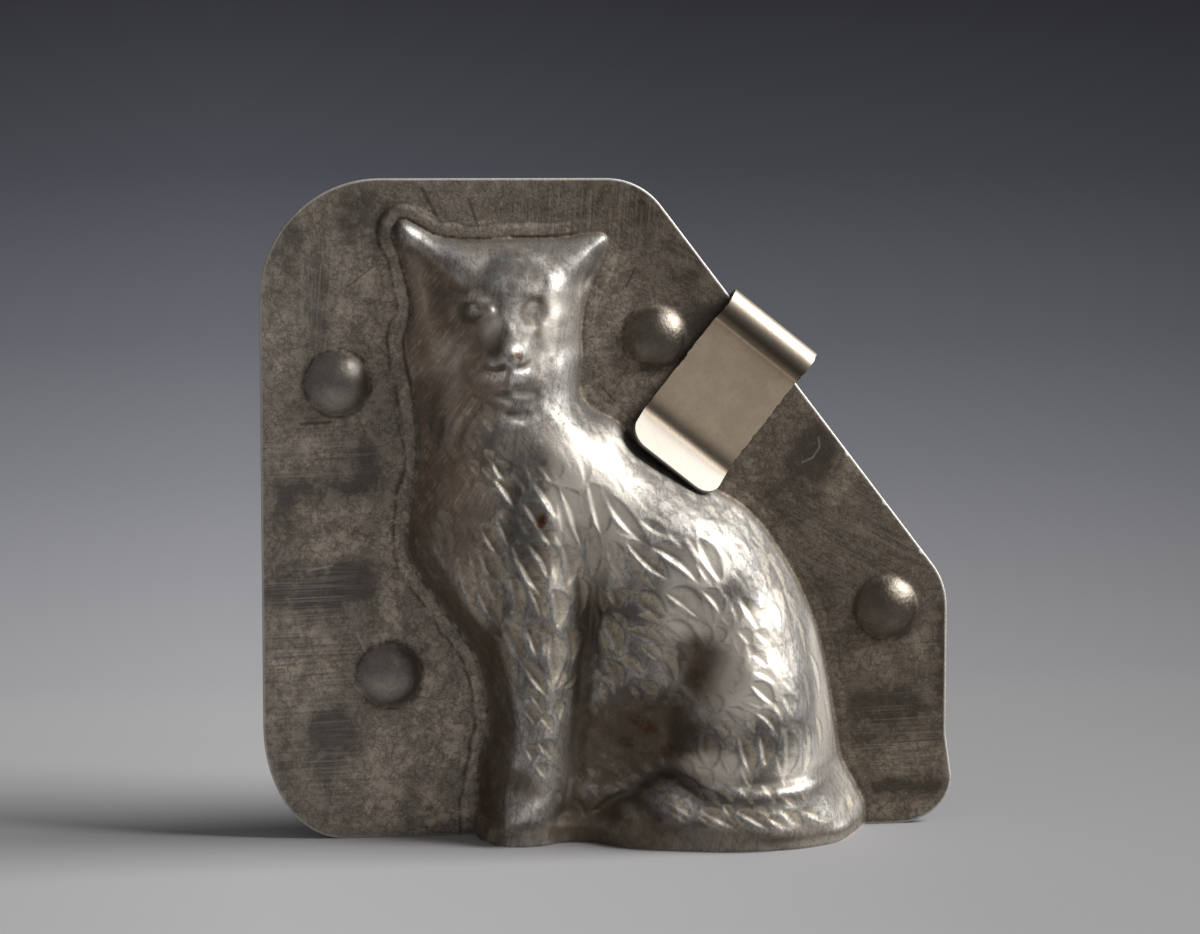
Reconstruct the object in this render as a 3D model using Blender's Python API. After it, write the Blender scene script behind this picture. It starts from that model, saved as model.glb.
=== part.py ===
"""A two-part pressed-tin chocolate mould of a sitting cat, held shut by one spring clip.

Metres, +Z up. The mould stands on its open base at z = 0, the parting plane of its two
halves is y = 0, and the front of the cat faces -Y. Heights of the figure are measured
from the parting plane to the outer face of the sheet.
"""
import math

import bmesh
import bpy
import numpy as np
from mathutils import Vector
from mathutils.geometry import delaunay_2d_cdt

MM = 0.001

# Sheet metal
SHEET = 0.0007            # tin plate of both halves
HALF_GAP = 0.0003         # space between the two flanges when the mould is shut
RELIEF_DEPTH = 0.0218     # deepest point of each half, from the parting plane

# Flange around the figure
MARGIN_LEFT = 0.0218
MARGIN_RIGHT = 0.0140
MARGIN_TOP = 0.0067
SLOPE_ANGLE = 0.915       # angle of the sloping edge's outward normal from +Z, radians
TOP_LEFT_RADIUS = 0.0200
TOP_RIGHT_RADIUS = 0.0116
SLOPE_END_RADIUS = 0.0120
BOTTOM_LEFT_CORNER = (0.0133, 0.0190)     # width and height of the worn corners
BOTTOM_RIGHT_CORNER = (0.0095, 0.0080)
BULGE = 0.0011            # how far the bent lower part of the right edge stands out
BULGE_TOP = 0.0155
ARC_STEPS = 6
CORNER_STEPS = 8

# Registration domes: pressed in both sheets, so that one nests in the other
DOME_RADIUS = 0.0055
DOME_HEIGHT = 0.0028
DOME_TO_CLIP = 0.0002     # space from a dome's foot to the clip's edge
DOME_BESIDE_CLIP = 0.0090  # how far that dome lies below the clip's crease, along the clip
LEFT_DOMES = ((0.0763, 0.0006), (0.0274, 0.0028))   # height, offset from mid flange
RIGHT_DOMES = ((0.0373, 0.0013),)
DOME_SIDES = 20
DOME_RINGS = 3

# Spring clip
CLIP_SHEET = 0.0005
CLIP_WIDTH = 0.0178
CLIP_ANGLE = 0.668        # its length from +Z, radians: it sits crooked on the edge
TUBE_RADIUS = 0.0033      # outer radius of the rolled spring
JAW_LENGTH = 0.0189
JAW_RISE = 0.0003         # how much wider the jaws stand at the roll than at the pinch
LIP_LENGTH = 0.0059
LIP_RISE = 0.0043
LIP_CORNER = 0.0035
LIP_BEND = 0.0045         # radius where the lip turns away from the jaw
ROLL_STEPS = 9            # facets over half of the roll
PINCH_CLEARANCE = 0.0003
EDGE_CLEARANCE = 0.0010   # from the corner of the flange to the inside of the roll
LIP_TIP = (0.00919, 0.06199)   # middle of the lip's end, over the cat's shoulder

# Figure, in millimetres: the foot of the relief on the flange, from the base of the
# chest up the left side, over the head and down the back
FOOT_MM = (
    (-22.9, 0.0), (-22.9, 4.0), (-22.1, 12.0), (-20.8, 17.5), (-21.0, 22.5), (-23.0, 30.5),
    (-27.5, 37.4), (-32.6, 45.0), (-34.2, 48.7), (-34.2, 51.8), (-33.3, 57.0), (-32.4, 63.4),
    (-33.0, 73.4), (-34.6, 82.6), (-33.4, 88.4), (-35.0, 96.4), (-36.3, 100.5), (-35.6, 103.3),
    (-33.8, 103.3), (-28.3, 100.5), (-16.8, 100.2), (-8.5, 100.5), (-2.4, 101.2), (-0.4, 100.6),
    (-0.6, 98.0), (-4.2, 88.6), (-4.7, 81.0), (-5.0, 74.4), (-2.8, 71.6), (1.0, 69.6),
    (4.6, 65.8), (10.0, 62.3), (18.2, 57.7), (22.4, 55.2), (26.8, 50.5), (32.2, 41.5),
    (35.9, 32.0), (38.8, 16.9), (39.8, 11.5), (42.1, 7.2), (43.8, 3.6), (43.8, 0.0),
)
SKIRT = 0.0015            # lowest row, upright
BAND_TOP = 0.0036         # plain upright band at the open base
BAND_EASE = 0.0012        # height over which the band passes into the figure
LEFT_WALL_SLOPE = 3.2     # height gained per length inside the foot
RIGHT_WALL_SLOPE = 2.3
WALL_SHARE_SPAN = (-0.020, 0.005)   # the walls pass from one slope to the other here
BLEND = 0.0011            # rounding where forms meet
WALL_BLEND = 0.0020       # rounding where a form meets the wall
LOWEST_FORM = 0.0045
CONE_START = 0.84         # share of a form's reach that is round
DENT_FALL = 1.2           # a dent's depth falls to exp(-1.2) at its half width
DENT_EDGE = 1.3           # above 1, so its floor is flatter than a bell
MESH_STEP = 0.0023
RING_STEP = 0.0014

# Plan of the lower rim, in millimetres: x and depth from the parting plane
RIM_PLAN_MM = (
    (-24.6, 0.85), (-23.9, 1.4), (-22.6, 6.0), (-20.9, 10.3), (-17.3, 12.7), (-12.6, 12.2),
    (-9.7, 10.2), (-6.7, 9.8), (-3.8, 11.0), (1.3, 16.4), (5.5, 18.6), (9.7, 19.9),
    (14.0, 21.1), (18.7, 21.8), (24.0, 21.4), (29.2, 20.1), (34.9, 16.1), (38.6, 11.4),
    (41.1, 6.3), (43.8, 0.85),
)

# Rounded forms: x, z, height, half width, half length (millimetres), tilt (degrees) and
# whether the form runs straight down to the base below its middle
BODY_FORMS = (
    (9.0, 24.0, 9.6, 36.0, 42.0, 0, True),        # core, behind the legs
    (-19.2, 87.5, 12.5, 16.0, 14.0, 0, False),    # skull
    (-18.0, 70.5, 13.5, 15.5, 12.0, 0, False),    # neck ruff
    (-16.5, 52.0, 14.8, 19.0, 21.0, -6, False),   # chest
    (-2.0, 61.0, 15.4, 19.0, 12.0, 35, False),    # shoulder
    (6.0, 34.0, 14.0, 11.5, 14.0, 0, False),      # belly
    (22.8, 25.5, 20.6, 15.6, 15.5, 0, True),      # haunch
    (-15.8, 4.0, 13.8, 7.6, 7.0, 0, True),        # forepaw
)
FACE_FORMS = (
    (-19.0, 79.5, 16.0, 7.8, 6.8, 0, False),      # muzzle
    (-18.0, 74.5, 14.2, 5.5, 4.0, 0, False),      # chin
)
BACK_FORMS = (
    (-18.5, 84.0, 14.6, 11.5, 13.0, 0, False),    # back of the head
    (22.0, 24.0, 21.0, 15.4, 17.0, 0, True),      # far haunch
)

# Tapered forms: x, z, height and half width (millimetres) at each end, and whether the
# form runs straight down to the base below its middle line
BODY_LIMBS = (
    ((0.0, 57.0, 15.2, 16.0), (19.0, 38.0, 19.0, 16.0), False),     # trunk
    ((-12.8, 42.0, 14.6, 9.0), (-14.6, 8.0, 13.0, 7.6), False),     # foreleg
    ((-24.5, 94.5, 8.2, 5.6), (-35.0, 102.0, 2.6, 2.6), False),     # left ear
    ((-11.0, 93.5, 8.8, 5.8), (-1.6, 99.6, 2.6, 2.6), False),       # right ear
    ((36.5, 4.6, 16.0, 6.8), (24.0, 4.6, 20.6, 7.4), True),         # root of the tail
)
FACE_LIMBS = (
    ((-18.0, 91.0, 12.6, 5.5), (-18.8, 83.0, 16.0, 4.6), False),    # nose
    ((24.0, 4.6, 20.8, 7.4), (9.0, 5.0, 19.6, 7.4), True),          # tail round the front
    ((9.0, 5.0, 19.6, 7.4), (2.6, 4.2, 16.6, 6.2), True),           # its end, hind toes
)

# Soft dents cut into the forms: x, z, depth, half width, half length (millimetres), tilt
DENTS = (
    (14.0, 30.5, 2.6, 3.8, 5.4, -15),             # between belly and haunch
    (3.5, 18.5, 1.2, 7.0, 5.0, 0),                # under the belly
    (-4.8, 40.0, 1.4, 2.8, 9.0, 0),               # behind the foreleg
    (-5.6, 24.0, 2.0, 2.9, 14.0, 0),
)

STACK = HALF_GAP / 2 + SHEET          # outer face of a flange, from the parting plane


def smooth_path(points, step):
    """A curve through all the points, with about one point per step."""
    path = [Vector(points[0])]
    last = len(points) - 1
    for i in range(last):
        before, start = Vector(points[max(i - 1, 0)]), Vector(points[i])
        end, after = Vector(points[i + 1]), Vector(points[min(i + 2, last)])
        pull = (end - start).length
        leave = (end - before).normalized() * pull
        arrive = (after - start).normalized() * pull
        count = max(1, round(pull / step))
        for k in range(1, count + 1):
            t = k / count
            path.append(start * (2 * t**3 - 3 * t**2 + 1) + leave * (t**3 - 2 * t**2 + t)
                        + end * (3 * t**2 - 2 * t**3) + arrive * (t**3 - t**2))
    return path


def rounded(before, corner, after, radius, steps):
    """Points of the arc that rounds one corner of a plane outline."""
    a = (before - corner).normalized()
    b = (after - corner).normalized()
    half = math.acos(max(-1.0, min(1.0, a.dot(b)))) / 2
    middle = corner + (a + b).normalized() * (radius / math.sin(half))
    first = corner + a * (radius / math.tan(half)) - middle
    last = corner + b * (radius / math.tan(half)) - middle
    turn = math.atan2(first.x * last.y - first.y * last.x, first.dot(last))
    arc = []
    for k in range(steps + 1):
        angle = turn * k / steps
        spin = Vector((first.x * math.cos(angle) - first.y * math.sin(angle),
                       first.x * math.sin(angle) + first.y * math.cos(angle)))
        arc.append(middle + spin)
    return arc


def segment_distance(point, start, end):
    along = end - start
    t = max(0.0, min(1.0, (point - start).dot(along) / along.length_squared))
    return (point - start - along * t).length, t


FOOT = smooth_path([(x * MM, z * MM) for x, z in FOOT_MM], MESH_STEP)
for foot_point in FOOT:
    if foot_point.y < SKIRT:
        foot_point.x = FOOT[0].x if foot_point.x < 0 else FOOT[-1].x


FOOT_ENDS = np.array([tuple(p) for p in FOOT])
FOOT_RUNS = FOOT_ENDS[1:] - FOOT_ENDS[:-1]


RIM_X, RIM_DEPTH = np.array(RIM_PLAN_MM).T


def foot_distance(point):
    """Distance from a point to the foot of the relief, which is open at the base."""
    gap = np.array((point.x, point.y)) - FOOT_ENDS[:-1]
    along = (gap * FOOT_RUNS).sum(axis=1) / (FOOT_RUNS * FOOT_RUNS).sum(axis=1)
    gap -= FOOT_RUNS * np.clip(along, 0.0, 1.0)[:, None]
    return float(np.sqrt((gap * gap).sum(axis=1).min()))


def inside_foot(point):
    crossings = 0
    for i, start in enumerate(FOOT):
        end = FOOT[(i + 1) % len(FOOT)]
        if (start.y > point.y) != (end.y > point.y):
            x = start.x + (end.x - start.x) * (point.y - start.y) / (end.y - start.y)
            crossings += x > point.x
    return crossings % 2 == 1


def foot_x(height, side):
    """Where the foot of the relief lies at one height, on the left (-1) or right (+1)."""
    xs = []
    for start, end in zip(FOOT, FOOT[1:]):
        if (start.y > height) != (end.y > height):
            xs.append(start.x + (end.x - start.x) * (height - start.y) / (end.y - start.y))
    return max(xs) if side > 0 else min(xs)


def swell(reach):
    """Profile of a rounded form over its reach: a dome that ends in a steep cone."""
    if reach < CONE_START:
        return math.sqrt(1 - reach * reach)
    level = math.sqrt(1 - CONE_START**2)
    return max(0.0, level - (reach - CONE_START) * CONE_START / level)


def round_form(point, form):
    x, z, height, half_width, half_length, tilt, grounded = form
    across = point.x / MM - x
    up = point.y / MM - z
    if grounded:
        up = max(up, 0.0)
    turn = math.radians(tilt)
    u = (across * math.cos(turn) - up * math.sin(turn)) / half_width
    v = (across * math.sin(turn) + up * math.cos(turn)) / half_length
    return height * MM * swell(math.hypot(u, v))


def limb_form(point, form):
    (x0, z0, height0, radius0), (x1, z1, height1, radius1), grounded = form
    start, end = Vector((x0 * MM, z0 * MM)), Vector((x1 * MM, z1 * MM))
    gap, t = segment_distance(point, start, end)
    if grounded and point.y < start.y + (end.y - start.y) * t:
        flat = Vector((point.x, start.y + (end.y - start.y) * t))
        gap, t = segment_distance(flat, start, end)
    reach = (radius0 + (radius1 - radius0) * t) * MM
    return (height0 + (height1 - height0) * t) * MM * swell(gap / reach)


def dent(point, form):
    x, z, depth, half_width, half_length, tilt = form
    turn = math.radians(tilt)
    across, up = point.x / MM - x, point.y / MM - z
    u = (across * math.cos(turn) - up * math.sin(turn)) / half_width
    v = (across * math.sin(turn) + up * math.cos(turn)) / half_length
    return depth * MM * math.exp(-DENT_FALL * (u * u + v * v)**DENT_EDGE)


def smooth_share(value, start, end):
    """0 at start, 1 at end, and smooth between them."""
    share = min(1.0, max(0.0, (value - start) / (end - start)))
    return share * share * (3 - 2 * share)


def relief(point, forms, limbs):
    """Height of the figure over the parting plane, before it is set to its full depth."""
    spot = Vector((point.x, max(point.y, SKIRT)))
    total = math.exp(LOWEST_FORM / BLEND)
    total += sum(math.exp(round_form(spot, form) / BLEND) for form in forms)
    total += sum(math.exp(limb_form(spot, form) / BLEND) for form in limbs)
    top = BLEND * math.log(total) - sum(dent(spot, form) for form in DENTS)
    share = smooth_share(spot.x, *WALL_SHARE_SPAN)
    slope = LEFT_WALL_SLOPE + (RIGHT_WALL_SLOPE - LEFT_WALL_SLOPE) * share
    wall = STACK + foot_distance(spot) * slope
    low = min(top, wall)
    over = math.exp((low - top) / WALL_BLEND) + math.exp((low - wall) / WALL_BLEND)
    shape = low - WALL_BLEND * math.log(over)
    band = smooth_share(spot.y, BAND_TOP + BAND_EASE, BAND_TOP)
    rim = float(np.interp(spot.x / MM, RIM_X, RIM_DEPTH)) * MM
    return shape * (1 - band) + rim * band


# The clip's own frame: across (its width), along (its length, away from the figure)
ACROSS = Vector((math.cos(CLIP_ANGLE), -math.sin(CLIP_ANGLE)))
ALONG = Vector((math.sin(CLIP_ANGLE), math.cos(CLIP_ANGLE)))
CREASE = Vector(LIP_TIP) + ALONG * (JAW_LENGTH + LIP_LENGTH)
ROLL = TUBE_RADIUS - CLIP_SHEET / 2                 # radius of the roll's middle line
PINCH = STACK + PINCH_CLEARANCE + CLIP_SHEET / 2    # jaw's middle line where it grips
CREASE_RISE = PINCH + JAW_RISE
TUBE_MIDDLE = math.sqrt(ROLL**2 - CREASE_RISE**2)


def worn_corner(corner, width, height, side):
    """Quarter of an ellipse from the base up to the upright edge, side +1 at the left."""
    points = []
    for k in range(CORNER_STEPS + 1):
        angle = math.pi / 2 * k / CORNER_STEPS
        x = corner.x + side * width * (1 - math.sin(angle))
        points.append(Vector((x, corner.y + height * (1 - math.cos(angle)))))
    return points


def flange_outline():
    """The flange's corners, rounded; the sloping edge ends inside the clip's roll."""
    left = min(p.x for p in FOOT) - MARGIN_LEFT
    right = max(p.x for p in FOOT) + MARGIN_RIGHT
    top = max(p.y for p in FOOT) + MARGIN_TOP
    hollow = TUBE_RADIUS - CLIP_SHEET
    reach = TUBE_MIDDLE + math.sqrt(hollow**2 - STACK**2) - EDGE_CLEARANCE
    touch = CREASE + ALONG * reach - ACROSS * (CLIP_WIDTH / 2)
    normal = Vector((math.sin(SLOPE_ANGLE), math.cos(SLOPE_ANGLE)))
    slope_top = Vector((touch.x + (touch.y - top) * normal.y / normal.x, top))
    slope_end = Vector((right, touch.y + (touch.x - right) * normal.x / normal.y))
    low_left, low_right = Vector((left, 0.0)), Vector((right + BULGE, 0.0))
    left_corner = worn_corner(low_left, *BOTTOM_LEFT_CORNER, 1)
    outline = [left_corner[0]] + worn_corner(low_right, *BOTTOM_RIGHT_CORNER, -1)
    outline.append(Vector((right, BULGE_TOP)))
    corners = (
        (slope_end, SLOPE_END_RADIUS),
        (slope_top, TOP_RIGHT_RADIUS),
        (Vector((left, top)), TOP_LEFT_RADIUS),
    )
    for i, (corner, radius) in enumerate(corners):
        before = corners[i - 1][0] if i else outline[-1]
        after = corners[i + 1][0] if i + 1 < len(corners) else left_corner[-1]
        outline += rounded(before, corner, after, radius, ARC_STEPS)
    return outline + left_corner[:0:-1], left, right


OUTLINE, LEFT, RIGHT = flange_outline()


def dome_places():
    places = [Vector(((LEFT + foot_x(z, -1)) / 2 + shift, z)) for z, shift in LEFT_DOMES]
    places += [Vector(((RIGHT + foot_x(z, 1)) / 2 + shift, z)) for z, shift in RIGHT_DOMES]
    beside = CLIP_WIDTH / 2 + DOME_RADIUS + DOME_TO_CLIP
    places.append(CREASE - ALONG * DOME_BESIDE_CLIP - ACROSS * beside)
    return places


DOMES = dome_places()
DOME_SPHERE = (DOME_RADIUS**2 + DOME_HEIGHT**2) / (2 * DOME_HEIGHT)
DOME_MIDDLE = DOME_SPHERE - DOME_HEIGHT - STACK    # sphere's centre, behind the parting plane


def dome_rise(distance, sphere, face):
    """How far a dome stands in front of a flat face; all domes share one sphere centre."""
    if distance >= sphere:
        return 0.0
    return max(0.0, math.sqrt(sphere**2 - distance**2) - DOME_MIDDLE + face)


def dome_foot(sphere, face):
    return math.sqrt(sphere**2 - (DOME_MIDDLE - face)**2)


def plane_mesh(dome_radius):
    """Triangles of a half's face in the x-z plane, dense over the figure only."""
    points, edges = [], []

    def add_path(path, closed):
        first = len(points)
        points.extend(path)
        edges.extend((first + i, first + i + 1) for i in range(len(path) - 1))
        if closed:
            edges.append((len(points) - 1, first))

    base = [Vector((FOOT[0].x, 0.0))]
    span = FOOT[-1].x - FOOT[0].x
    count = round(span / MESH_STEP)
    base += [Vector((FOOT[0].x + span * k / count, 0.0)) for k in range(1, count)]
    add_path([OUTLINE[0]] + base + [FOOT[-1]] + OUTLINE[1:], True)
    start = len(points)
    points.extend(FOOT[1:-1])
    edges.append((1, start))
    edges.extend((i, i + 1) for i in range(start, len(points) - 1))
    edges.append((len(points) - 1, 1 + len(base)))
    points.extend(Vector((p.x, SKIRT)) for p in base[1:])
    for middle in DOMES:
        for ring in range(DOME_RINGS, 0, -1):
            radius = dome_radius * ring / DOME_RINGS
            circle = []
            for k in range(DOME_SIDES):
                angle = 2 * math.pi * k / DOME_SIDES
                circle.append(middle + Vector((math.cos(angle), math.sin(angle))) * radius)
            add_path(circle, True)
        points.append(middle.copy())
    for i in range(1, len(FOOT) - 1):
        inward = (FOOT[i + 1] - FOOT[i - 1]).normalized()
        for ring in (1, 2):
            spot = FOOT[i] + Vector((inward.y, -inward.x)) * (ring * RING_STEP)
            clear = foot_distance(spot) > (ring - 0.15) * RING_STEP
            if spot.y > SKIRT + RING_STEP / 2 and clear and inside_foot(spot):
                points.append(spot)
    low_x = min(p.x for p in FOOT)
    high_z = max(p.y for p in FOOT)
    rows = int(high_z / MESH_STEP)
    for row in range(1, rows):
        z = SKIRT + row * MESH_STEP
        shift = MESH_STEP / 2 * (row % 2)
        for column in range(int((FOOT[-1].x - low_x) / MESH_STEP)):
            spot = Vector((low_x + shift + column * MESH_STEP, z))
            if inside_foot(spot) and foot_distance(spot) > RING_STEP * 2.5:
                points.append(spot)
    inside_only = 1
    found = delaunay_2d_cdt(points, edges, [], inside_only, 1e-7)
    return found[0], found[2]


def make_half(name, side, forms, limbs, material):
    """One pressed half. side is -1 for the front (towards -Y) and +1 for the back."""
    sphere = DOME_SPHERE if side < 0 else DOME_SPHERE - 2 * SHEET - HALF_GAP
    face = -STACK * side
    spots, faces = plane_mesh(dome_foot(sphere, -face))
    rises = []
    heights = []
    for spot in spots:
        on_foot = foot_distance(spot) < 1e-6
        heights.append(relief(spot, forms, limbs) if inside_foot(spot) and not on_foot else 0.0)
        rises.append(max(dome_rise((spot - d).length, sphere, -face) for d in DOMES))
    full = (RELIEF_DEPTH - STACK) / (max(heights) - STACK)
    mesh = bpy.data.meshes.new(name)
    shape = bmesh.new()
    verts = []
    for spot, height, rise in zip(spots, heights, rises):
        y = side * (STACK + max(height - STACK, 0.0) * full) - rise
        verts.append(shape.verts.new((spot.x, y, spot.y)))
    for corners in faces:
        order = corners if side < 0 else reversed(corners)
        shape.faces.new([verts[i] for i in order])
    shape.to_mesh(mesh)
    shape.free()
    half = bpy.data.objects.new(name, mesh)
    bpy.context.scene.collection.objects.link(half)
    mesh.shade_smooth()
    mesh.set_sharp_from_angle(angle=math.radians(26))
    mesh.materials.append(material)
    thick = half.modifiers.new("sheet", "SOLIDIFY")
    thick.thickness = SHEET
    thick.offset = -1.0
    return half


def clip_profile():
    """Middle line of the clip's front side as (along, outward), lip to outer roll."""
    tip = Vector((-JAW_LENGTH - LIP_LENGTH, PINCH + LIP_RISE))
    bend = Vector((-JAW_LENGTH, PINCH))
    crease = Vector((0.0, CREASE_RISE))
    line = [tip + (bend - tip) * k / 3 for k in range(2)]
    line += rounded(tip, bend, crease, LIP_BEND, ARC_STEPS)
    line += [bend + (crease - bend) * k / 3 for k in (1, 2)]
    line.append(crease)
    opening = math.atan2(CREASE_RISE, -TUBE_MIDDLE)
    for k in range(1, ROLL_STEPS):
        angle = opening * (1 - k / ROLL_STEPS)
        line.append(Vector((TUBE_MIDDLE + ROLL * math.cos(angle), ROLL * math.sin(angle))))
    line.append(Vector((TUBE_MIDDLE + ROLL, 0.0)))
    return line


def make_clip(material):
    front = clip_profile()
    profile = [Vector((p.x, -p.y)) for p in front]
    profile += [p.copy() for p in reversed(front[:-1])]
    lengths = [0.0]
    for start, end in zip(profile, profile[1:]):
        lengths.append(lengths[-1] + (end - start).length)
    total = lengths[-1]

    def at(distance):
        for i in range(1, len(profile)):
            if distance <= lengths[i] or i == len(profile) - 1:
                t = (distance - lengths[i - 1]) / (lengths[i] - lengths[i - 1])
                return profile[i - 1] + (profile[i] - profile[i - 1]) * t

    shape = bmesh.new()
    columns = []
    steps = 4
    half = CLIP_WIDTH / 2
    angles = [math.pi / 2 * k / steps for k in range(steps + 1)]
    places = [-half + LIP_CORNER * (1 - math.cos(a)) for a in angles]
    places += [-p for p in reversed(places)]
    for place in places:
        into = max(0.0, abs(place) - (half - LIP_CORNER))
        cut = LIP_CORNER - math.sqrt(max(0.0, LIP_CORNER**2 - into**2))
        column = []
        for length in lengths:
            middle = total / 2
            from_middle = length - middle
            flat = LIP_LENGTH / 2 + LIP_CORNER
            edge = abs(from_middle) - (middle - flat)
            if edge > 0:
                edge *= 1 - cut / flat
                from_middle = math.copysign(middle - flat + edge, from_middle)
            spot = at(middle + from_middle)
            column.append(shape.verts.new((place, spot.y, spot.x)))
        columns.append(column)
    for left, right in zip(columns, columns[1:]):
        for i in range(len(profile) - 1):
            shape.faces.new((left[i], left[i + 1], right[i + 1], right[i]))
    bmesh.ops.recalc_face_normals(shape, faces=shape.faces)
    mesh = bpy.data.meshes.new("spring_clip")
    shape.to_mesh(mesh)
    shape.free()
    clip = bpy.data.objects.new("spring_clip", mesh)
    bpy.context.scene.collection.objects.link(clip)
    mesh.shade_smooth()
    mesh.set_sharp_from_angle(angle=math.radians(26))
    mesh.materials.append(material)
    clip.location = (CREASE.x, 0.0, CREASE.y)
    clip.rotation_euler = (0.0, CLIP_ANGLE, 0.0)
    thick = clip.modifiers.new("sheet", "SOLIDIFY")
    thick.thickness = CLIP_SHEET
    thick.offset = 0.0
    return clip


def metal(name, color, roughness):
    material = bpy.data.materials.new(name)
    material.use_nodes = True
    shader = material.node_tree.nodes["Principled BSDF"]
    shader.inputs["Base Color"].default_value = (*color, 1.0)
    shader.inputs["Metallic"].default_value = 1.0
    shader.inputs["Roughness"].default_value = roughness
    return material


def build():
    for leftover in list(bpy.data.objects):
        bpy.data.objects.remove(leftover, do_unlink=True)
    tin_front = metal("worn tin, front", (0.36, 0.34, 0.31), 0.42)
    tin_back = metal("worn tin, back", (0.32, 0.30, 0.28), 0.48)
    spring = metal("sprung nickel steel", (0.55, 0.50, 0.42), 0.38)
    root = bpy.data.objects.new("mould", None)
    bpy.context.scene.collection.objects.link(root)
    root.location.x = -(LEFT + RIGHT + BULGE) / 2
    pieces = (
        make_half("front_half", -1, BODY_FORMS + FACE_FORMS, BODY_LIMBS + FACE_LIMBS, tin_front),
        make_half("back_half", 1, BODY_FORMS + BACK_FORMS, BODY_LIMBS, tin_back),
        make_clip(spring),
    )
    for piece in pieces:
        piece.parent = root


build()
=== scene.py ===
# %% [markdown]
# # A pressed-tin chocolate mould of a sitting cat
# The real object is two thin sheets of tinned steel, pressed over a die. Each sheet has one
# half of a cat in relief, a flat flange round it and four small domes, so that the halves
# nest. A clip of sprung steel slides over the sloping edge and holds them together.
#
# Pressed sheet is a natural height field: every point of the flat blank is pushed forward
# by some height. So this lesson draws the cat as a table of heights over the flange, the way
# an engraver cuts a die, and only then turns the table into a sheet with a real thickness.

# %% Load the frame
import math

import bmesh
import bpy
import numpy as np
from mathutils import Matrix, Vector
from mathutils.geometry import delaunay_2d_cdt


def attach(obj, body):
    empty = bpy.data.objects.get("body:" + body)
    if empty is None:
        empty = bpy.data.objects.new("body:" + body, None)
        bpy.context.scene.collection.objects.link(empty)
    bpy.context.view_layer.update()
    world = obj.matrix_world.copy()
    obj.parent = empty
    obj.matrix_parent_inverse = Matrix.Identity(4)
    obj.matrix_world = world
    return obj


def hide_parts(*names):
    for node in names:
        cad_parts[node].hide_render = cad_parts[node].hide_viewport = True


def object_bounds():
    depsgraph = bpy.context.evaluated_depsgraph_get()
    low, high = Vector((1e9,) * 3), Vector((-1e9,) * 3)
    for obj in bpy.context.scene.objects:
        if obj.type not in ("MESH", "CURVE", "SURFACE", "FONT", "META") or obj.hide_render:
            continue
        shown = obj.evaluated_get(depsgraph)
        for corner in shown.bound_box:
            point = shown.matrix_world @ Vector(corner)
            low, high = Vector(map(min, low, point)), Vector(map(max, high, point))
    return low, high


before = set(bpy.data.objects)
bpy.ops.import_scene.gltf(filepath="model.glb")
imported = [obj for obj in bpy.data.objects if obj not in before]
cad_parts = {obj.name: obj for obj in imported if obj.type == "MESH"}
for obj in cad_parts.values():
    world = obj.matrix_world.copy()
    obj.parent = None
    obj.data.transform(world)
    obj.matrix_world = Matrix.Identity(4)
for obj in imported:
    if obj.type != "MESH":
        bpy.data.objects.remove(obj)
cad_box = [list(corner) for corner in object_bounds()]
print("CAD box:", cad_box)


def add_object(name, data):
    """A new object with this data, in the scene."""
    made = bpy.data.objects.new(name, data)
    bpy.context.scene.collection.objects.link(made)
    return made


# %% [markdown]
# ## The camera
# The photograph was taken from a little to the left and slightly above, with a long lens.
# A long lens keeps the flange's edges nearly parallel. The camera is placed by its distance,
# its angle round the mould and its height over the table, which are easy to compare with
# the picture one by one.

# %% Place the camera
MM = 0.001
LENS, SENSOR = 100, 36
NEAREST_SEEN = 0.01
VIEW_DISTANCE = 556.3
VIEW_HEIGHT = 115.3
VIEW_ANGLE = math.radians(8)
VIEW_HEADING = math.radians(7.62)
VIEW_TILT = math.radians(5.5)
VIEW_SIDESTEP = 1.72

camera = add_object("camera", bpy.data.cameras.new("camera"))
camera.data.lens, camera.data.sensor_width = LENS, SENSOR
camera.data.clip_start = NEAREST_SEEN
camera.location = (
    (VIEW_SIDESTEP - VIEW_DISTANCE * math.sin(VIEW_ANGLE)) * MM,
    -VIEW_DISTANCE * math.cos(VIEW_ANGLE) * MM,
    VIEW_HEIGHT * MM,
)
camera.rotation_euler = (math.pi / 2 - VIEW_TILT, 0, -VIEW_HEADING)
bpy.context.scene.camera = camera
print("camera at", [round(c, 3) for c in camera.location])

# %% [markdown]
# ## Tools for painting
# Each surface is painted with nodes. A few short functions add a node, move a value from one
# range to another, lay colours over one another and open a named group, so that a material
# below reads as a list of its layers.

# %% Helpers for materials
def fill(tree, target, value):
    """Set a socket, or link it where the value is another node's output."""
    if isinstance(value, bpy.types.NodeSocket):
        tree.links.new(value, target)
    else:
        target.default_value = value


def node(tree, kind, sockets=None, **settings):
    """Add one node; sockets are values or other nodes' outputs."""
    made = tree.nodes.new(kind)
    for name, value in settings.items():
        setattr(made, name, value)
    for name, value in (sockets or {}).items():
        fill(tree, made.inputs[name], value)
    return made


def math_node(tree, operation, first, second=0.0, clamp=False):
    return node(tree, "ShaderNodeMath", {0: first, 1: second}, operation=operation,
                use_clamp=clamp).outputs[0]


def colour_mix(tree, factor, first, second, blend="MIX"):
    """Mix two colours; a colour is three numbers or another node's output."""
    made = node(tree, "ShaderNodeMix", data_type="RGBA", blend_type=blend)
    for name, value in (("Factor", factor), ("A", first), ("B", second)):
        target = [s for s in made.inputs if s.name == name and s.enabled][0]
        fill(tree, target, (*value, 1) if isinstance(value, tuple) else value)
    return [s for s in made.outputs if s.enabled][0]


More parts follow.
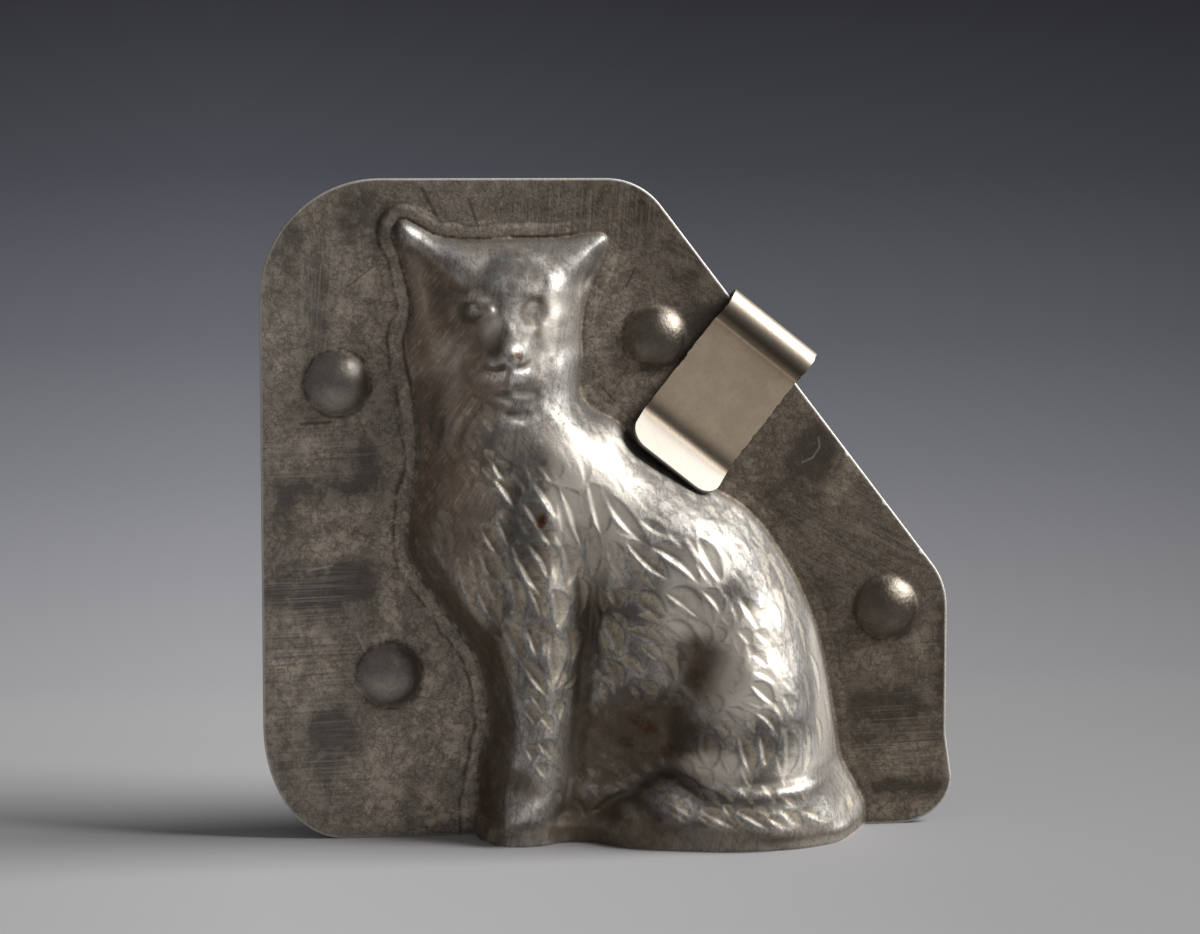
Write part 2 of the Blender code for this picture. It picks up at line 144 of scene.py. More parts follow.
def mask_group(name, vectors, numbers, build):
    """A group of nodes that gives one mask; build makes it from the group's named inputs."""
    group = bpy.data.node_groups.new(name, "ShaderNodeTree")
    for socket in vectors:
        group.interface.new_socket(socket, in_out="INPUT", socket_type="NodeSocketVector")
    for socket, value in numbers.items():
        made = group.interface.new_socket(socket, in_out="INPUT", socket_type="NodeSocketFloat")
        made.default_value = value
    group.interface.new_socket("Mask", in_out="OUTPUT", socket_type="NodeSocketFloat")
    mask = build(group, group.nodes.new("NodeGroupInput").outputs)
    group.links.new(mask, group.nodes.new("NodeGroupOutput").inputs["Mask"])
    return group


def times(tree, first, second):
    return math_node(tree, "MULTIPLY", first, second)


def mapped(tree, value, low, high, to_low=0.0, to_high=1.0, **settings):
    """A value moved from one range to another and kept inside it."""
    return node(tree, "ShaderNodeMapRange", {
        "Value": value, "From Min": low, "From Max": high, "To Min": to_low, "To Max": to_high},
        **settings).outputs[0]


def cloud_noise(tree, place, scale, detail, roughness):
    return node(tree, "ShaderNodeTexNoise", {
        "Vector": place, "Scale": scale, "Detail": detail, "Roughness": roughness}).outputs[0]


def layered(tree, colour, *layers):
    """Lay colours over one another; a layer is its mask, its share and its colour."""
    for mask, share, tint in layers:
        factor = mask if share == 1 else times(tree, mask, share)
        colour = colour_mix(tree, factor, colour, tint)
    return colour


def ramp(tree, value, stops):
    """Colours along a value; a stop is a place and its colour."""
    low, high = stops[0][0], stops[-1][0]
    made = node(tree, "ShaderNodeValToRGB", {"Fac": mapped(tree, value, low, high)})
    elements = made.color_ramp.elements
    while len(elements) < len(stops):
        elements.new(0.5)
    for element, (place, tone) in zip(elements, stops):
        element.position = (place - low) / (high - low)
        element.color = (*tone, 1)
    return made.outputs["Color"]


# %% [markdown]
# ## The studio
# A sheet of paper lies under the mould and curves up close behind it. Its colour is painted darker
# towards the top, to slate grey, and towards the right: painted shade. One large softbox stands to the
# right, a little in front and above: the glints on the domes show where it was. It lights every slope
# that faces right and leaves the left walls dark.

# %% Build the floor, the backdrop and the lamps
SWEEP_START = 0.10
SWEEP_RADIUS = 0.16
SWEEP_WIDTH = 6.0
SWEEP_FRONT = -6.0
SWEEP_HEIGHT = 0.9
# painted shade: the paper's colour darkens with height here, and towards the right by SIDE_TONES
BACKDROP_TONES = (  # height in metres and colour, from the floor up
    (0.000, (0.430, 0.425, 0.430)),
    (0.004, (0.375, 0.372, 0.385)),
    (0.018, (0.310, 0.312, 0.330)),
    (0.040, (0.222, 0.226, 0.247)),
    (0.070, (0.136, 0.142, 0.162)),
    (0.110, (0.070, 0.074, 0.088)),
    (0.150, (0.040, 0.041, 0.049)),
    (0.400, (0.014, 0.014, 0.018)),
)
SIDE_TONES = (  # place across in metres and share of the colour
    (-0.10, 1.00), (-0.06, 1.00), (0.00, 0.80), (0.05, 0.63), (0.10, 0.54), (0.18, 0.38),
    (0.40, 0.25), (0.90, 1.00))

LAMP = {"angle": 78, "height_angle": 36, "distance": 0.75, "size": 0.42, "power": 10.4}
WORLD_COLOUR, WORLD_STRENGTH = (0.278, 0.27, 0.268, 1), 0.8
MATT, DULL_SHINE = 0.95, 0.1  # roughness and shine of the paper


def sweep_profile():
    """Side view of the paper: flat floor, a round turn and an upright back."""
    line = [(SWEEP_FRONT, 0), (-0.4, 0), (SWEEP_START - 0.05, 0)]
    for k in range(25):
        angle = math.pi / 2 * k / 24
        line.append((SWEEP_START + SWEEP_RADIUS * math.sin(angle),
                     SWEEP_RADIUS * (1 - math.cos(angle))))
    line.append((SWEEP_START + SWEEP_RADIUS, SWEEP_HEIGHT))
    return line


def make_sweep():
    verts, faces = [], []
    line = sweep_profile()
    for y, z in line:
        verts += [(-SWEEP_WIDTH, y, z), (SWEEP_WIDTH, y, z)]
    for k in range(len(line) - 1):
        faces.append((2 * k, 2 * k + 1, 2 * k + 3, 2 * k + 2))
    mesh = bpy.data.meshes.new("paper sweep")
    mesh.from_pydata(verts, [], faces)
    mesh.shade_smooth()
    paper = add_object("paper_sweep", mesh)
    return paper


def paper_paint():
    """Matt paper whose colour is painted darker, to slate, with height and towards the right: painted
    shade.

    Seen from behind it lets the view through, so the back of the mould shows."""
    paint = bpy.data.materials.new("paper with painted shade")
    paint.use_nodes = True
    tree = paint.node_tree
    shader = tree.nodes["Principled BSDF"]
    shader.inputs["Roughness"].default_value = MATT
    shader.inputs["Specular IOR Level"].default_value = DULL_SHINE
    place = node(tree, "ShaderNodeNewGeometry")
    split = node(tree, "ShaderNodeSeparateXYZ", {"Vector": place.outputs["Position"]})
    across = [(x, (share,) * 3) for x, share in SIDE_TONES]
    tone = node(tree, "ShaderNodeVectorMath", {
        0: ramp(tree, split.outputs["Z"], BACKDROP_TONES),
        1: ramp(tree, split.outputs["X"], across)}, operation="MULTIPLY")
    tree.links.new(tone.outputs[0], shader.inputs["Base Color"])
    sided = node(tree, "ShaderNodeMixShader", {
        0: place.outputs["Backfacing"], 1: shader.outputs["BSDF"],
        2: node(tree, "ShaderNodeBsdfTransparent").outputs["BSDF"]})
    tree.links.new(sided.outputs[0], tree.nodes["Material Output"].inputs["Surface"])
    return paint


def soft_lamp(name, angle, height_angle, distance, size, power):
    """A square softbox; its angles are seen from the mould, from the front and up."""
    lamp = bpy.data.lights.new(name, "AREA")
    lamp.shape = "RECTANGLE"
    lamp.size = lamp.size_y = size
    lamp.energy = power
    stand = add_object(name, lamp)
    aim = Vector((0, 0, 0.05))
    turn, rise = math.radians(angle), math.radians(height_angle)
    way = Vector((math.cos(rise) * math.sin(turn), -math.cos(rise) * math.cos(turn), math.sin(rise)))
    stand.location = aim + way * distance
    stand.rotation_euler = way.to_track_quat("Z", "Y").to_euler()
    return stand


make_sweep().data.materials.append(paper_paint())
soft_lamp("key", **LAMP)

world = bpy.data.worlds.new("studio")
world.use_nodes = True
world.node_tree.nodes["Background"].inputs["Color"].default_value = WORLD_COLOUR
world.node_tree.nodes["Background"].inputs["Strength"].default_value = WORLD_STRENGTH
bpy.context.scene.world = world
bpy.context.scene.view_settings.view_transform = "Standard"

# %% [markdown]
# ## A table of heights
# The relief is worked out on a fine grid over the flange, in millimetres. Numpy handles the
# whole grid at once, so a form is one line of arithmetic, and details can be added one on
# another like an engraver's cuts.

# %% The grid and its helpers
PITCH = 0.2
GRID_X = np.arange(-60, 60.0 + PITCH / 2, PITCH)
GRID_Z = np.arange(-2, 112.0 + PITCH / 2, PITCH)
XX, ZZ = np.meshgrid(GRID_X, GRID_Z)
SHEET = 0.7
HALF_GAP = 0.3
STACK = HALF_GAP / 2 + SHEET
DEEPEST = cad_box[1][1] / MM
print("grid:", XX.shape, "deepest point:", round(DEEPEST, 2), "mm")


def smooth_path(points, step):
    """A curve through all the points, with about one point per step."""
    points = [np.array(p, float) for p in points]
    path = [points[0]]
    last = len(points) - 1
    for i in range(last):
        before, start = points[max(i - 1, 0)], points[i]
        end, after = points[i + 1], points[min(i + 2, last)]
        pull = np.linalg.norm(end - start)
        leave = (end - before) / np.linalg.norm(end - before) * pull
        arrive = (after - start) / np.linalg.norm(after - start) * pull
        count = max(1, round(pull / step))
        for t in np.arange(1, count + 1) / count:
            path.append(start * (2 * t**3 - 3 * t**2 + 1) + leave * (t**3 - 2 * t**2 + t)
                        + end * (3 * t**2 - 2 * t**3) + arrive * (t**3 - t**2))
    return np.array(path)


def rotate(x, z, angle):
    cos, sin = math.cos(angle), math.sin(angle)
    return x * cos - z * sin, x * sin + z * cos


def path_distance(path):
    """Distance of every grid point from a path."""
    nearest = np.full(XX.shape, 1e9)
    for (x0, z0), (x1, z1) in zip(path, path[1:]):
        run_x, run_z = x1 - x0, z1 - z0
        length = max(run_x**2 + run_z**2, 1e-9)
        t = np.clip(((XX - x0) * run_x + (ZZ - z0) * run_z) / length, 0, 1)
        gap = (XX - x0 - run_x * t)**2 + (ZZ - z0 - run_z * t)**2
        np.minimum(nearest, gap, out=nearest)
    return np.sqrt(nearest)


def inside_path(path):
    """True where a grid point is inside a closed path."""
    odd = np.zeros(XX.shape, bool)
    for (x0, z0), (x1, z1) in zip(path, np.roll(path, -1, axis=0)):
        if z0 == z1:
            continue
        between = (z0 > ZZ) != (z1 > ZZ)
        odd ^= between & (x0 + (x1 - x0) * (ZZ - z0) / (z1 - z0) > XX)
    return odd


def smoothstep(low, high, value):
    t = np.clip((value - low) / (high - low), 0, 1)
    return t * t * (3 - 2 * t)


def blur(table, radius):
    """Soften a table by about a radius in millimetres."""
    reach = max(1, int(round(radius / PITCH * 2)))
    weights = np.exp(-0.5 * (np.arange(-reach, reach + 1) * PITCH / radius)**2)
    weights /= weights.sum()
    for axis in (0, 1):
        padded = np.pad(table, [(reach, reach) if a == axis else (0, 0) for a in (0, 1)], "edge")
        size = table.shape[axis]
        table = sum(w * np.take(padded, range(k, k + size), axis)
                    for k, w in enumerate(weights))
    return table


def interpolate(values, i, j, s, t):
    """Values of a table between column i and the next, and row j and the next."""
    low = values[j, i] * (1 - s) + values[j, i + 1] * s
    high = values[j + 1, i] * (1 - s) + values[j + 1, i + 1] * s
    return low * (1 - t) + high * t


def waviness(seed, length_x, length_z):
    """Smooth random waves between -1 and 1, of a given length in millimetres."""
    chance = np.random.default_rng(seed)
    cols = int(np.ptp(GRID_X) / length_x) + 3
    rows = int(np.ptp(GRID_Z) / length_z) + 3
    values = chance.uniform(-1, 1, (rows, cols))
    u = (XX - GRID_X[0]) / length_x
    v = (ZZ - GRID_Z[0]) / length_z
    i, j = u.astype(int), v.astype(int)
    return interpolate(values, i, j, smoothstep(0, 1, u - i), smoothstep(0, 1, v - j))


def turned(x, z, half_width, half_length, tilt, grounded=False):
    """Where every grid point lies across and along a tilted oval; its edge is at 1."""
    across, up = XX - x, ZZ - z
    if grounded:
        up = np.maximum(up, 0)
    u, v = rotate(across, up, math.radians(tilt))
    return u / half_width, v / half_length


# %% [markdown]
# ## The outline of the figure
# The foot is the line where the relief rises from the flange. It is drawn from the base of the chest, up
# over the ears and down the back, and a smooth curve runs through its points.

# %% Draw the foot and the flange
FOOT_POINTS = (
    (-22.9, 0), (-22.9, 4), (-22.1, 12), (-20.8, 17.5), (-21, 22.5), (-23, 30.5),
    (-27.5, 37.4), (-32.6, 45), (-34.2, 48.7), (-34.2, 51.8), (-33.3, 57), (-32.4, 63.4),
    (-33, 73.4), (-34.6, 82.6), (-33.4, 88.4), (-35, 96.4), (-36.3, 100.5), (-35.6, 103.3),
    (-33.8, 103.3), (-28.3, 100.5), (-16.8, 100.2), (-8.5, 100.5), (-2.4, 101.2), (-0.4, 100.6),
    (-0.6, 98), (-4.2, 88.6), (-4.7, 81), (-5, 74.4), (-2.8, 71.6), (1, 69.6),
    (4.6, 65.8), (10, 62.3), (18.2, 57.7), (22.4, 55.2), (26.8, 50.5), (32.2, 41.5),
    (35.9, 32), (38.8, 16.9), (39.8, 11.5), (42.1, 7.2), (43.8, 3.6), (43.8, 0),
)
SKIRT = 1.5
foot = smooth_path(FOOT_POINTS, 1)
foot[foot[:, 1] < SKIRT, 0] = np.where(foot[foot[:, 1] < SKIRT, 0] < 0, foot[0, 0], foot[-1, 0])
inside = inside_path(foot)
depth_in = path_distance(foot) * np.where(inside, 1, -1)
print("foot:", len(foot), "points; figure covers", round(inside.sum() * PITCH**2), "mm2")

# %% [markdown]
# ## The body of the cat
# The large forms are ellipsoids and tapered limbs, blended where they meet. A form that
# stands on the base runs straight down below its middle, because the mould is open there.

# %% Rounded forms
CONE_START = 0.84


def swell(reach):
    """Profile of a rounded form: a dome that ends in a steep cone."""
    level = math.sqrt(1 - CONE_START**2)
    cone = level - (reach - CONE_START) * CONE_START / level
    dome = np.sqrt(np.clip(1 - reach**2, 0, 1))
    return np.where(reach < CONE_START, dome, np.maximum(cone, 0))


def round_form(x, z, height, half_width, half_length, tilt=0, grounded=False):
    return height * swell(np.hypot(*turned(x, z, half_width, half_length, tilt, grounded)))


def limb(start, end, grounded=False):
    """A tapered form between two ends, each x, z, height and half width."""
    (x0, z0, height0, width0), (x1, z1, height1, width1) = start, end
    run_x, run_z = x1 - x0, z1 - z0
    zz = np.maximum(ZZ, max(z0, z1)) if grounded else ZZ
    t = np.clip(((XX - x0) * run_x + (zz - z0) * run_z) / (run_x**2 + run_z**2), 0, 1)
    if grounded:
        zz = np.maximum(ZZ, z0 + run_z * t)
    gap = np.hypot(XX - x0 - run_x * t, zz - z0 - run_z * t)
    return (height0 + (height1 - height0) * t) * swell(gap / (width0 + (width1 - width0) * t))


def blend_high(layers, softness):
    """The highest of some layers, rounded where they cross."""
    top = np.max(layers, axis=0)
    return top + softness * np.log(sum(np.exp((layer - top) / softness) for layer in layers))


def blend_low(first, second, softness):
    low = np.minimum(first, second)
    return low - softness * np.log(np.exp((low - first) / softness) + np.exp((low - second) / softness))


# %% The cat's large forms
BLEND = 1.1  # rounding where forms meet
WALL_BLEND = 2.0  # and where they meet the wall
WALL_LEFT, WALL_RIGHT = 3.2, 2.3
wall_slope = WALL_LEFT + (WALL_RIGHT - WALL_LEFT) * smoothstep(-20, 5, XX)
body = [
    round_form(9, 24, 9.6, 36, 42, 0, True),  # core, behind the legs
    round_form(-19.2, 87.5, 12.5, 16, 14),  # skull
    round_form(-17.6, 70.5, 13.2, 16.6, 12),  # neck ruff
    round_form(-14, 77, 11.6, 13.5, 9),  # right cheek
    round_form(-16.5, 52, 14.8, 19, 21, -6),  # chest
    round_form(-2, 61, 15.4, 19, 12, 35),  # shoulder
    round_form(6, 34, 14, 11.5, 14),  # belly
    round_form(22.8, 25.5, 20.6, 15.6, 15.5, 0, True),  # haunch
    limb((0, 57, 15.2, 16), (19, 38, 19, 16)),  # trunk
    limb((-12.8, 42, 14.6, 9), (-14.6, 8, 13, 7.6)),  # foreleg
    limb((-24.5, 94.5, 8.2, 5.6), (-35, 102, 2.6, 2.6)),  # left ear
    limb((-11, 93.5, 8.8, 5.8), (-1.6, 99.6, 2.6, 2.6)),  # right ear
    limb((36.5, 4.6, 16, 6.8), (24, 4.6, 20.6, 7.4), True),  # root of the tail
]
front_only = [
    round_form(-16, 4.6, 14.2, 7.4, 6.4, 0, True),  # forepaw
    round_form(-19, 79.5, 16, 7.8, 6.8),  # muzzle
    round_form(-18, 74.5, 14.2, 5.5, 4),  # chin
    limb((-18.6, 91, 12.4, 6.6), (-18.8, 83, 15.3, 6.6)),  # nose
    limb((24, 4.6, 20.8, 7.4), (9, 5, 19.6, 7.4), True),  # tail round the front
    limb((9, 5, 19.6, 7.4), (3.4, 3.6, 15.6, 5.2), True),  # its end and the hind toes
]
back_only = [
    round_form(-15.8, 4, 13.8, 7.6, 7, 0, True),  # other forepaw
    round_form(-18.5, 84, 14.6, 11.5, 13),  # back of the head
    round_form(22, 24, 21, 15.4, 17, 0, True),  # far haunch
]

# %% [markdown]
# The open base has a plain upright band, so that the mould stands well: there the section
# is the same at every height. Its plan was read from the lower rim in the picture.

# %% The band at the base
RIM_PLAN = (
    (-24.6, 0.85), (-23.9, 1.4), (-22.6, 6), (-20.9, 10.3), (-17.3, 12.7), (-12.6, 12.2),
    (-9.7, 10.2), (-6.7, 9.8), (-3.8, 11), (1.3, 16.4), (9.7, 19.9), (18.7, 21.8),
    (29.2, 20.1), (34.9, 16.1), (41.1, 6.3), (43.8, 0.85))
BAND_TOP = 3.6  # and it runs out under the tail
rim_line = smooth_path(RIM_PLAN, 0.5)
rim_depth = np.interp(XX, rim_line[:, 0], rim_line[:, 1], 0.85, 0.85)
band_top = BAND_TOP - 2.6 * smoothstep(12, 36, XX)
band = smoothstep(band_top + 1.6, band_top - 1, ZZ)


def press(layers, details):
    """Heights of one half over its flange, from its forms and its small details."""
    top = blend_high(layers, BLEND) + details
    wall = STACK + depth_in * wall_slope
    shape = blend_low(top, wall, WALL_BLEND)
    shape = shape * (1 - band) + rim_depth * band
    height = np.where(inside, np.maximum(shape - STACK, 0), 0)
    base_row = int(round((SKIRT - GRID_Z[0]) / PITCH))
    height[:base_row] = height[base_row]
    return height * (DEEPEST - STACK) / height.max()


# %% [markdown]
# ## From heights to a sheet of metal
# The outer face follows the table. The inner face is the outer one moved in by the sheet's
# thickness, which on a table of heights is the lowest of a small ball's undersides. Both
# faces are triangulated in the plane, finely over the cat and coarsely over the flat
# flange, and a rim joins them along the cut edge.

# %% Sheet helpers
BULGE = 1.1
RIGHT = FOOT_POINTS[-1][0] + 14.0
SHIFT = cad_box[1][0] / MM - RIGHT - BULGE
LEFT = cad_box[0][0] / MM - SHIFT
TOP = cad_box[1][2] / MM
SLOPE_ANGLE = 0.915
SLOPE_POINT = (20.16, 90.27)
RIGHT_RADIUS, TOP_RADIUS, LEFT_RADIUS = 12.0, 11.6, 20.0
WORN_LEFT, BENT_RIGHT = (13.3, 19.0), (9.5, 8.0)  # width and height of both lower corners
BENT_TOP = 15.5


def rounded(before, corner, after, radius, step=0.8):
    before, corner, after = (np.array(p, float) for p in (before, corner, after))
    a = (before - corner) / np.linalg.norm(before - corner)
    b = (after - corner) / np.linalg.norm(after - corner)
    half = math.acos(np.clip(a @ b, -1, 1)) / 2
    middle = corner + (a + b) / np.linalg.norm(a + b) * radius / math.sin(half)
    first = corner + a * radius / math.tan(half) - middle
    last = corner + b * radius / math.tan(half) - middle
    turn = math.atan2(first[0] * last[1] - first[1] * last[0], first @ last)
    count = max(2, int(abs(turn) * radius / step))
    angles = turn * np.arange(count + 1) / count
    return [middle + rotate(*first, t) for t in angles]


def worn_corner(x, width, height, side):
    """Quarter of an ellipse from the base up to the upright edge, side +1 at the left."""
    angles = np.linspace(0, math.pi / 2, 16)
    return [np.array([x + side * width * (1 - math.sin(a)), height * (1 - math.cos(a))])
            for a in angles]


def flange_outline():
    nx, nz = math.sin(SLOPE_ANGLE), math.cos(SLOPE_ANGLE)
    x0, z0 = SLOPE_POINT
    slope_top = (x0 + (z0 - TOP) * nz / nx, TOP)
    slope_end = (RIGHT, z0 + (x0 - RIGHT) * nx / nz)
    left_corner = worn_corner(LEFT, *WORN_LEFT, 1)
    outline = [left_corner[0]] + worn_corner(RIGHT + BULGE, *BENT_RIGHT, -1)
    outline.append(np.array([RIGHT, BENT_TOP]))
    outline += rounded(outline[-1], slope_end, slope_top, RIGHT_RADIUS)
    outline += rounded(slope_end, slope_top, (LEFT, TOP), TOP_RADIUS)
    outline += rounded(slope_top, (LEFT, TOP), left_corner[-1], LEFT_RADIUS)
    return np.array(outline + left_corner[:0:-1])


outline = flange_outline()
DOMES = ((-45.5, 76.3), (-37.2, 27.4), (7.5, 83.5), (47.4, 37.3))
DOME_RADIUS, DOME_HEIGHT = 5.5, 2.8
dome_sphere = (DOME_RADIUS**2 + DOME_HEIGHT**2) / (2 * DOME_HEIGHT)
dome_distance = np.min([np.hypot(XX - x, ZZ - z) for x, z in DOMES], axis=0)
print("outline:", len(outline), "points; dome sphere", round(dome_sphere, 2), "mm")

# %% Turn a table of heights into a sheet
EDGE_EASE = 0.1  # how far the cut edge is rounded
RING_INSIDE = 0.35  # a ring of points lies this far inside the outline
BASE_STEP, RIM_STEP = 0.35, 1.2  # spacing of points along the outline
OUTER_STEPS = (0.5, 1.6)  # spacing at the domes and on the flange
INNER_STEPS = (0.55, 0.6, 1.8)  # the same on the inner face, with the figure first
OUTER_CLEAR, INNER_CLEAR = 0.45, 0.3  # steps between the points and the outline
FIGURE_REACH, DOME_REACH = 3.2, 6.3  # how far the fine points reach past a foot
SHARP_EDGE = math.radians(60)


def look_up(table, points):
    """Value of a table at many points, between its grid points."""
    u = np.clip((points[:, 0] - GRID_X[0]) / PITCH, 0, len(GRID_X) - 1.001)
    v = np.clip((points[:, 1] - GRID_Z[0]) / PITCH, 0, len(GRID_Z) - 1.001)
    i, j = u.astype(int), v.astype(int)
    return interpolate(table, i, j, u - i, v - j)


def moved_in(table, thickness):
    """The face at a given thickness behind a table of heights, measured square to it."""
    reach = int(thickness / PITCH)
    padded = np.pad(table, reach, "edge")
    rows, cols = table.shape
    inner = np.full(table.shape, 1e9)
    for j in range(-reach, reach + 1):
        for i in range(-reach, reach + 1):
            across = math.hypot(i, j) * PITCH
            if across > thickness:
                continue
            part = padded[reach + j:reach + j + rows, reach + i:reach + i + cols]
            np.minimum(inner, part - math.sqrt(thickness**2 - across**2), out=inner)
    return inner


def edge_loop(fine, coarse):
    """The flange's outline with short steps where the figure crosses it."""
    loop = []
    for start, end in zip(outline, np.roll(outline, -1, axis=0)):
        at_base = start[1] < 0.01 and end[1] < 0.01
        run = end - start
        length = np.hypot(*run)
        if length < 1e-3:
            continue
        step = fine if at_base else coarse
        count = max(1, math.ceil(length / step))
        loop += [start + run * k / count for k in range(count)]
    return np.array(loop)


def hex_points(step):
    rows = np.arange(GRID_Z[0], GRID_Z[-1], step * math.sqrt(3) / 2)
    cols = np.arange(GRID_X[0], GRID_X[-1], step)
    shift = (np.arange(len(rows)) % 2) * step / 2
    points = np.stack([cols[None, :] + shift[:, None], rows[:, None] + 0 * cols[None, :]], axis=-1)
    return points.reshape(-1, 2)


def spread_points(zones, loop, clear):
    """Points at different steps in different zones, none too near the outline."""
    edge_gap = path_distance_at(loop)
    chosen = []
    for step, zone in zones:
        points = hex_points(step)
        wanted = look_up(zone.astype(float), points) > 0.5
        wanted &= look_up(edge_gap, points) > clear * step
        chosen.append(points[wanted])
    return np.concatenate(chosen)


def path_distance_at(loop):
    """Signed distance into the flange from its outline."""
    keep = [loop[0]]
    for point in loop:
        if np.hypot(*(point - keep[-1])) > 1.2:
            keep.append(point)
    keep.append(loop[0])
    return path_distance(np.array(keep)) * np.where(inside_path(loop), 1, -1)


def loop_normals(loop):
    run = np.roll(loop, -1, axis=0) - np.roll(loop, 1, axis=0)
    run /= np.hypot(run[:, 0], run[:, 1])[:, None]
    return np.stack([run[:, 1], -run[:, 0]], axis=1)


def flat_mesh(zones, loop, clear):
    """Triangles over the flange, with the numbers of the points along its outline."""
    ring = loop - loop_normals(loop) * RING_INSIDE
    points = np.vstack([loop, ring, spread_points(zones, loop, clear)])
    edges = [(i, (i + 1) % len(loop)) for i in range(len(loop))]
    result = delaunay_2d_cdt([Vector(p) for p in points], edges, [], 1, 1e-6)
    verts = np.array([tuple(v) for v in result[0]])
    faces = np.array([f for f in result[2] if len(f) == 3])
    origin = {}
    for new, olds in enumerate(result[3]):
        for old in olds:
            origin[old] = new
    return verts, faces, [origin[i] for i in range(len(loop))]


def add_marks(mesh, marks):
    """Keep numbers for every point of a mesh under a name, for the materials."""
    for mark, values in marks.items():
        layer = mesh.attributes.new(mark, "FLOAT", "POINT")
        layer.data.foreach_set("value", np.asarray(values, np.float32))


def make_sheet(name, side, table, fine, marks):
    """One pressed half: outer face, inner face and a slightly eased rim."""
    figure_zone = depth_in > -FIGURE_REACH
    dome_zone = (dome_distance < DOME_REACH) & ~figure_zone
    zones = (figure_zone, dome_zone, ~figure_zone & ~dome_zone)
    loop = edge_loop(BASE_STEP, RIM_STEP)
    face_loop = loop - loop_normals(loop) * EDGE_EASE
    outer = flat_mesh(zip((fine, *OUTER_STEPS), zones), face_loop, OUTER_CLEAR)
    inner = flat_mesh(zip(INNER_STEPS, zones), face_loop, INNER_CLEAR)
    inner_table = moved_in(table, SHEET)
    rows, faces = [], []

    def add_row(plan, y):
        rows.append(np.stack([plan[:, 0], side * y, plan[:, 1]], axis=1))

    for (flat, triangles, _), heights, outward in ((outer, table, 1), (inner, inner_table, -1)):
        start = sum(len(r) for r in rows)
        add_row(flat, STACK + look_up(heights, flat))
        order = triangles if side * outward < 0 else triangles[:, ::-1]
        faces += (order + start).tolist()
    count = len(loop)
    outer_ring = np.array(outer[2])
    inner_ring = np.array(inner[2]) + len(rows[0])
    start = sum(len(r) for r in rows)
    add_row(loop, STACK + look_up(table, loop) - EDGE_EASE)
    add_row(loop, STACK + look_up(inner_table, loop) + EDGE_EASE)
    rings = [outer_ring, start + np.arange(count), start + count + np.arange(count), inner_ring]
    for first, second in zip(rings, rings[1:]):
        for i in range(count):
            j = (i + 1) % count
            quad = [first[i], second[i], second[j], first[j]]
            faces.append([int(v) for v in (quad if side < 0 else quad[::-1])])
    verts = np.concatenate(rows)
    verts[:, 0] += SHIFT
    mesh = bpy.data.meshes.new(name)
    mesh.from_pydata((verts * MM).tolist(), [], faces)
    mesh.shade_smooth()
    mesh.set_sharp_from_angle(angle=SHARP_EDGE)
    spots = np.stack([verts[:, 0] - SHIFT, verts[:, 2]], axis=1)
    add_marks(mesh, {mark: look_up(values, spots) for mark, values in marks.items()})
    print(name, "has", sum(len(f) - 2 for f in faces), "triangles")
    return add_object(name, mesh)


print("shift of the outline to the CAD box:", round(SHIFT, 3), "mm")
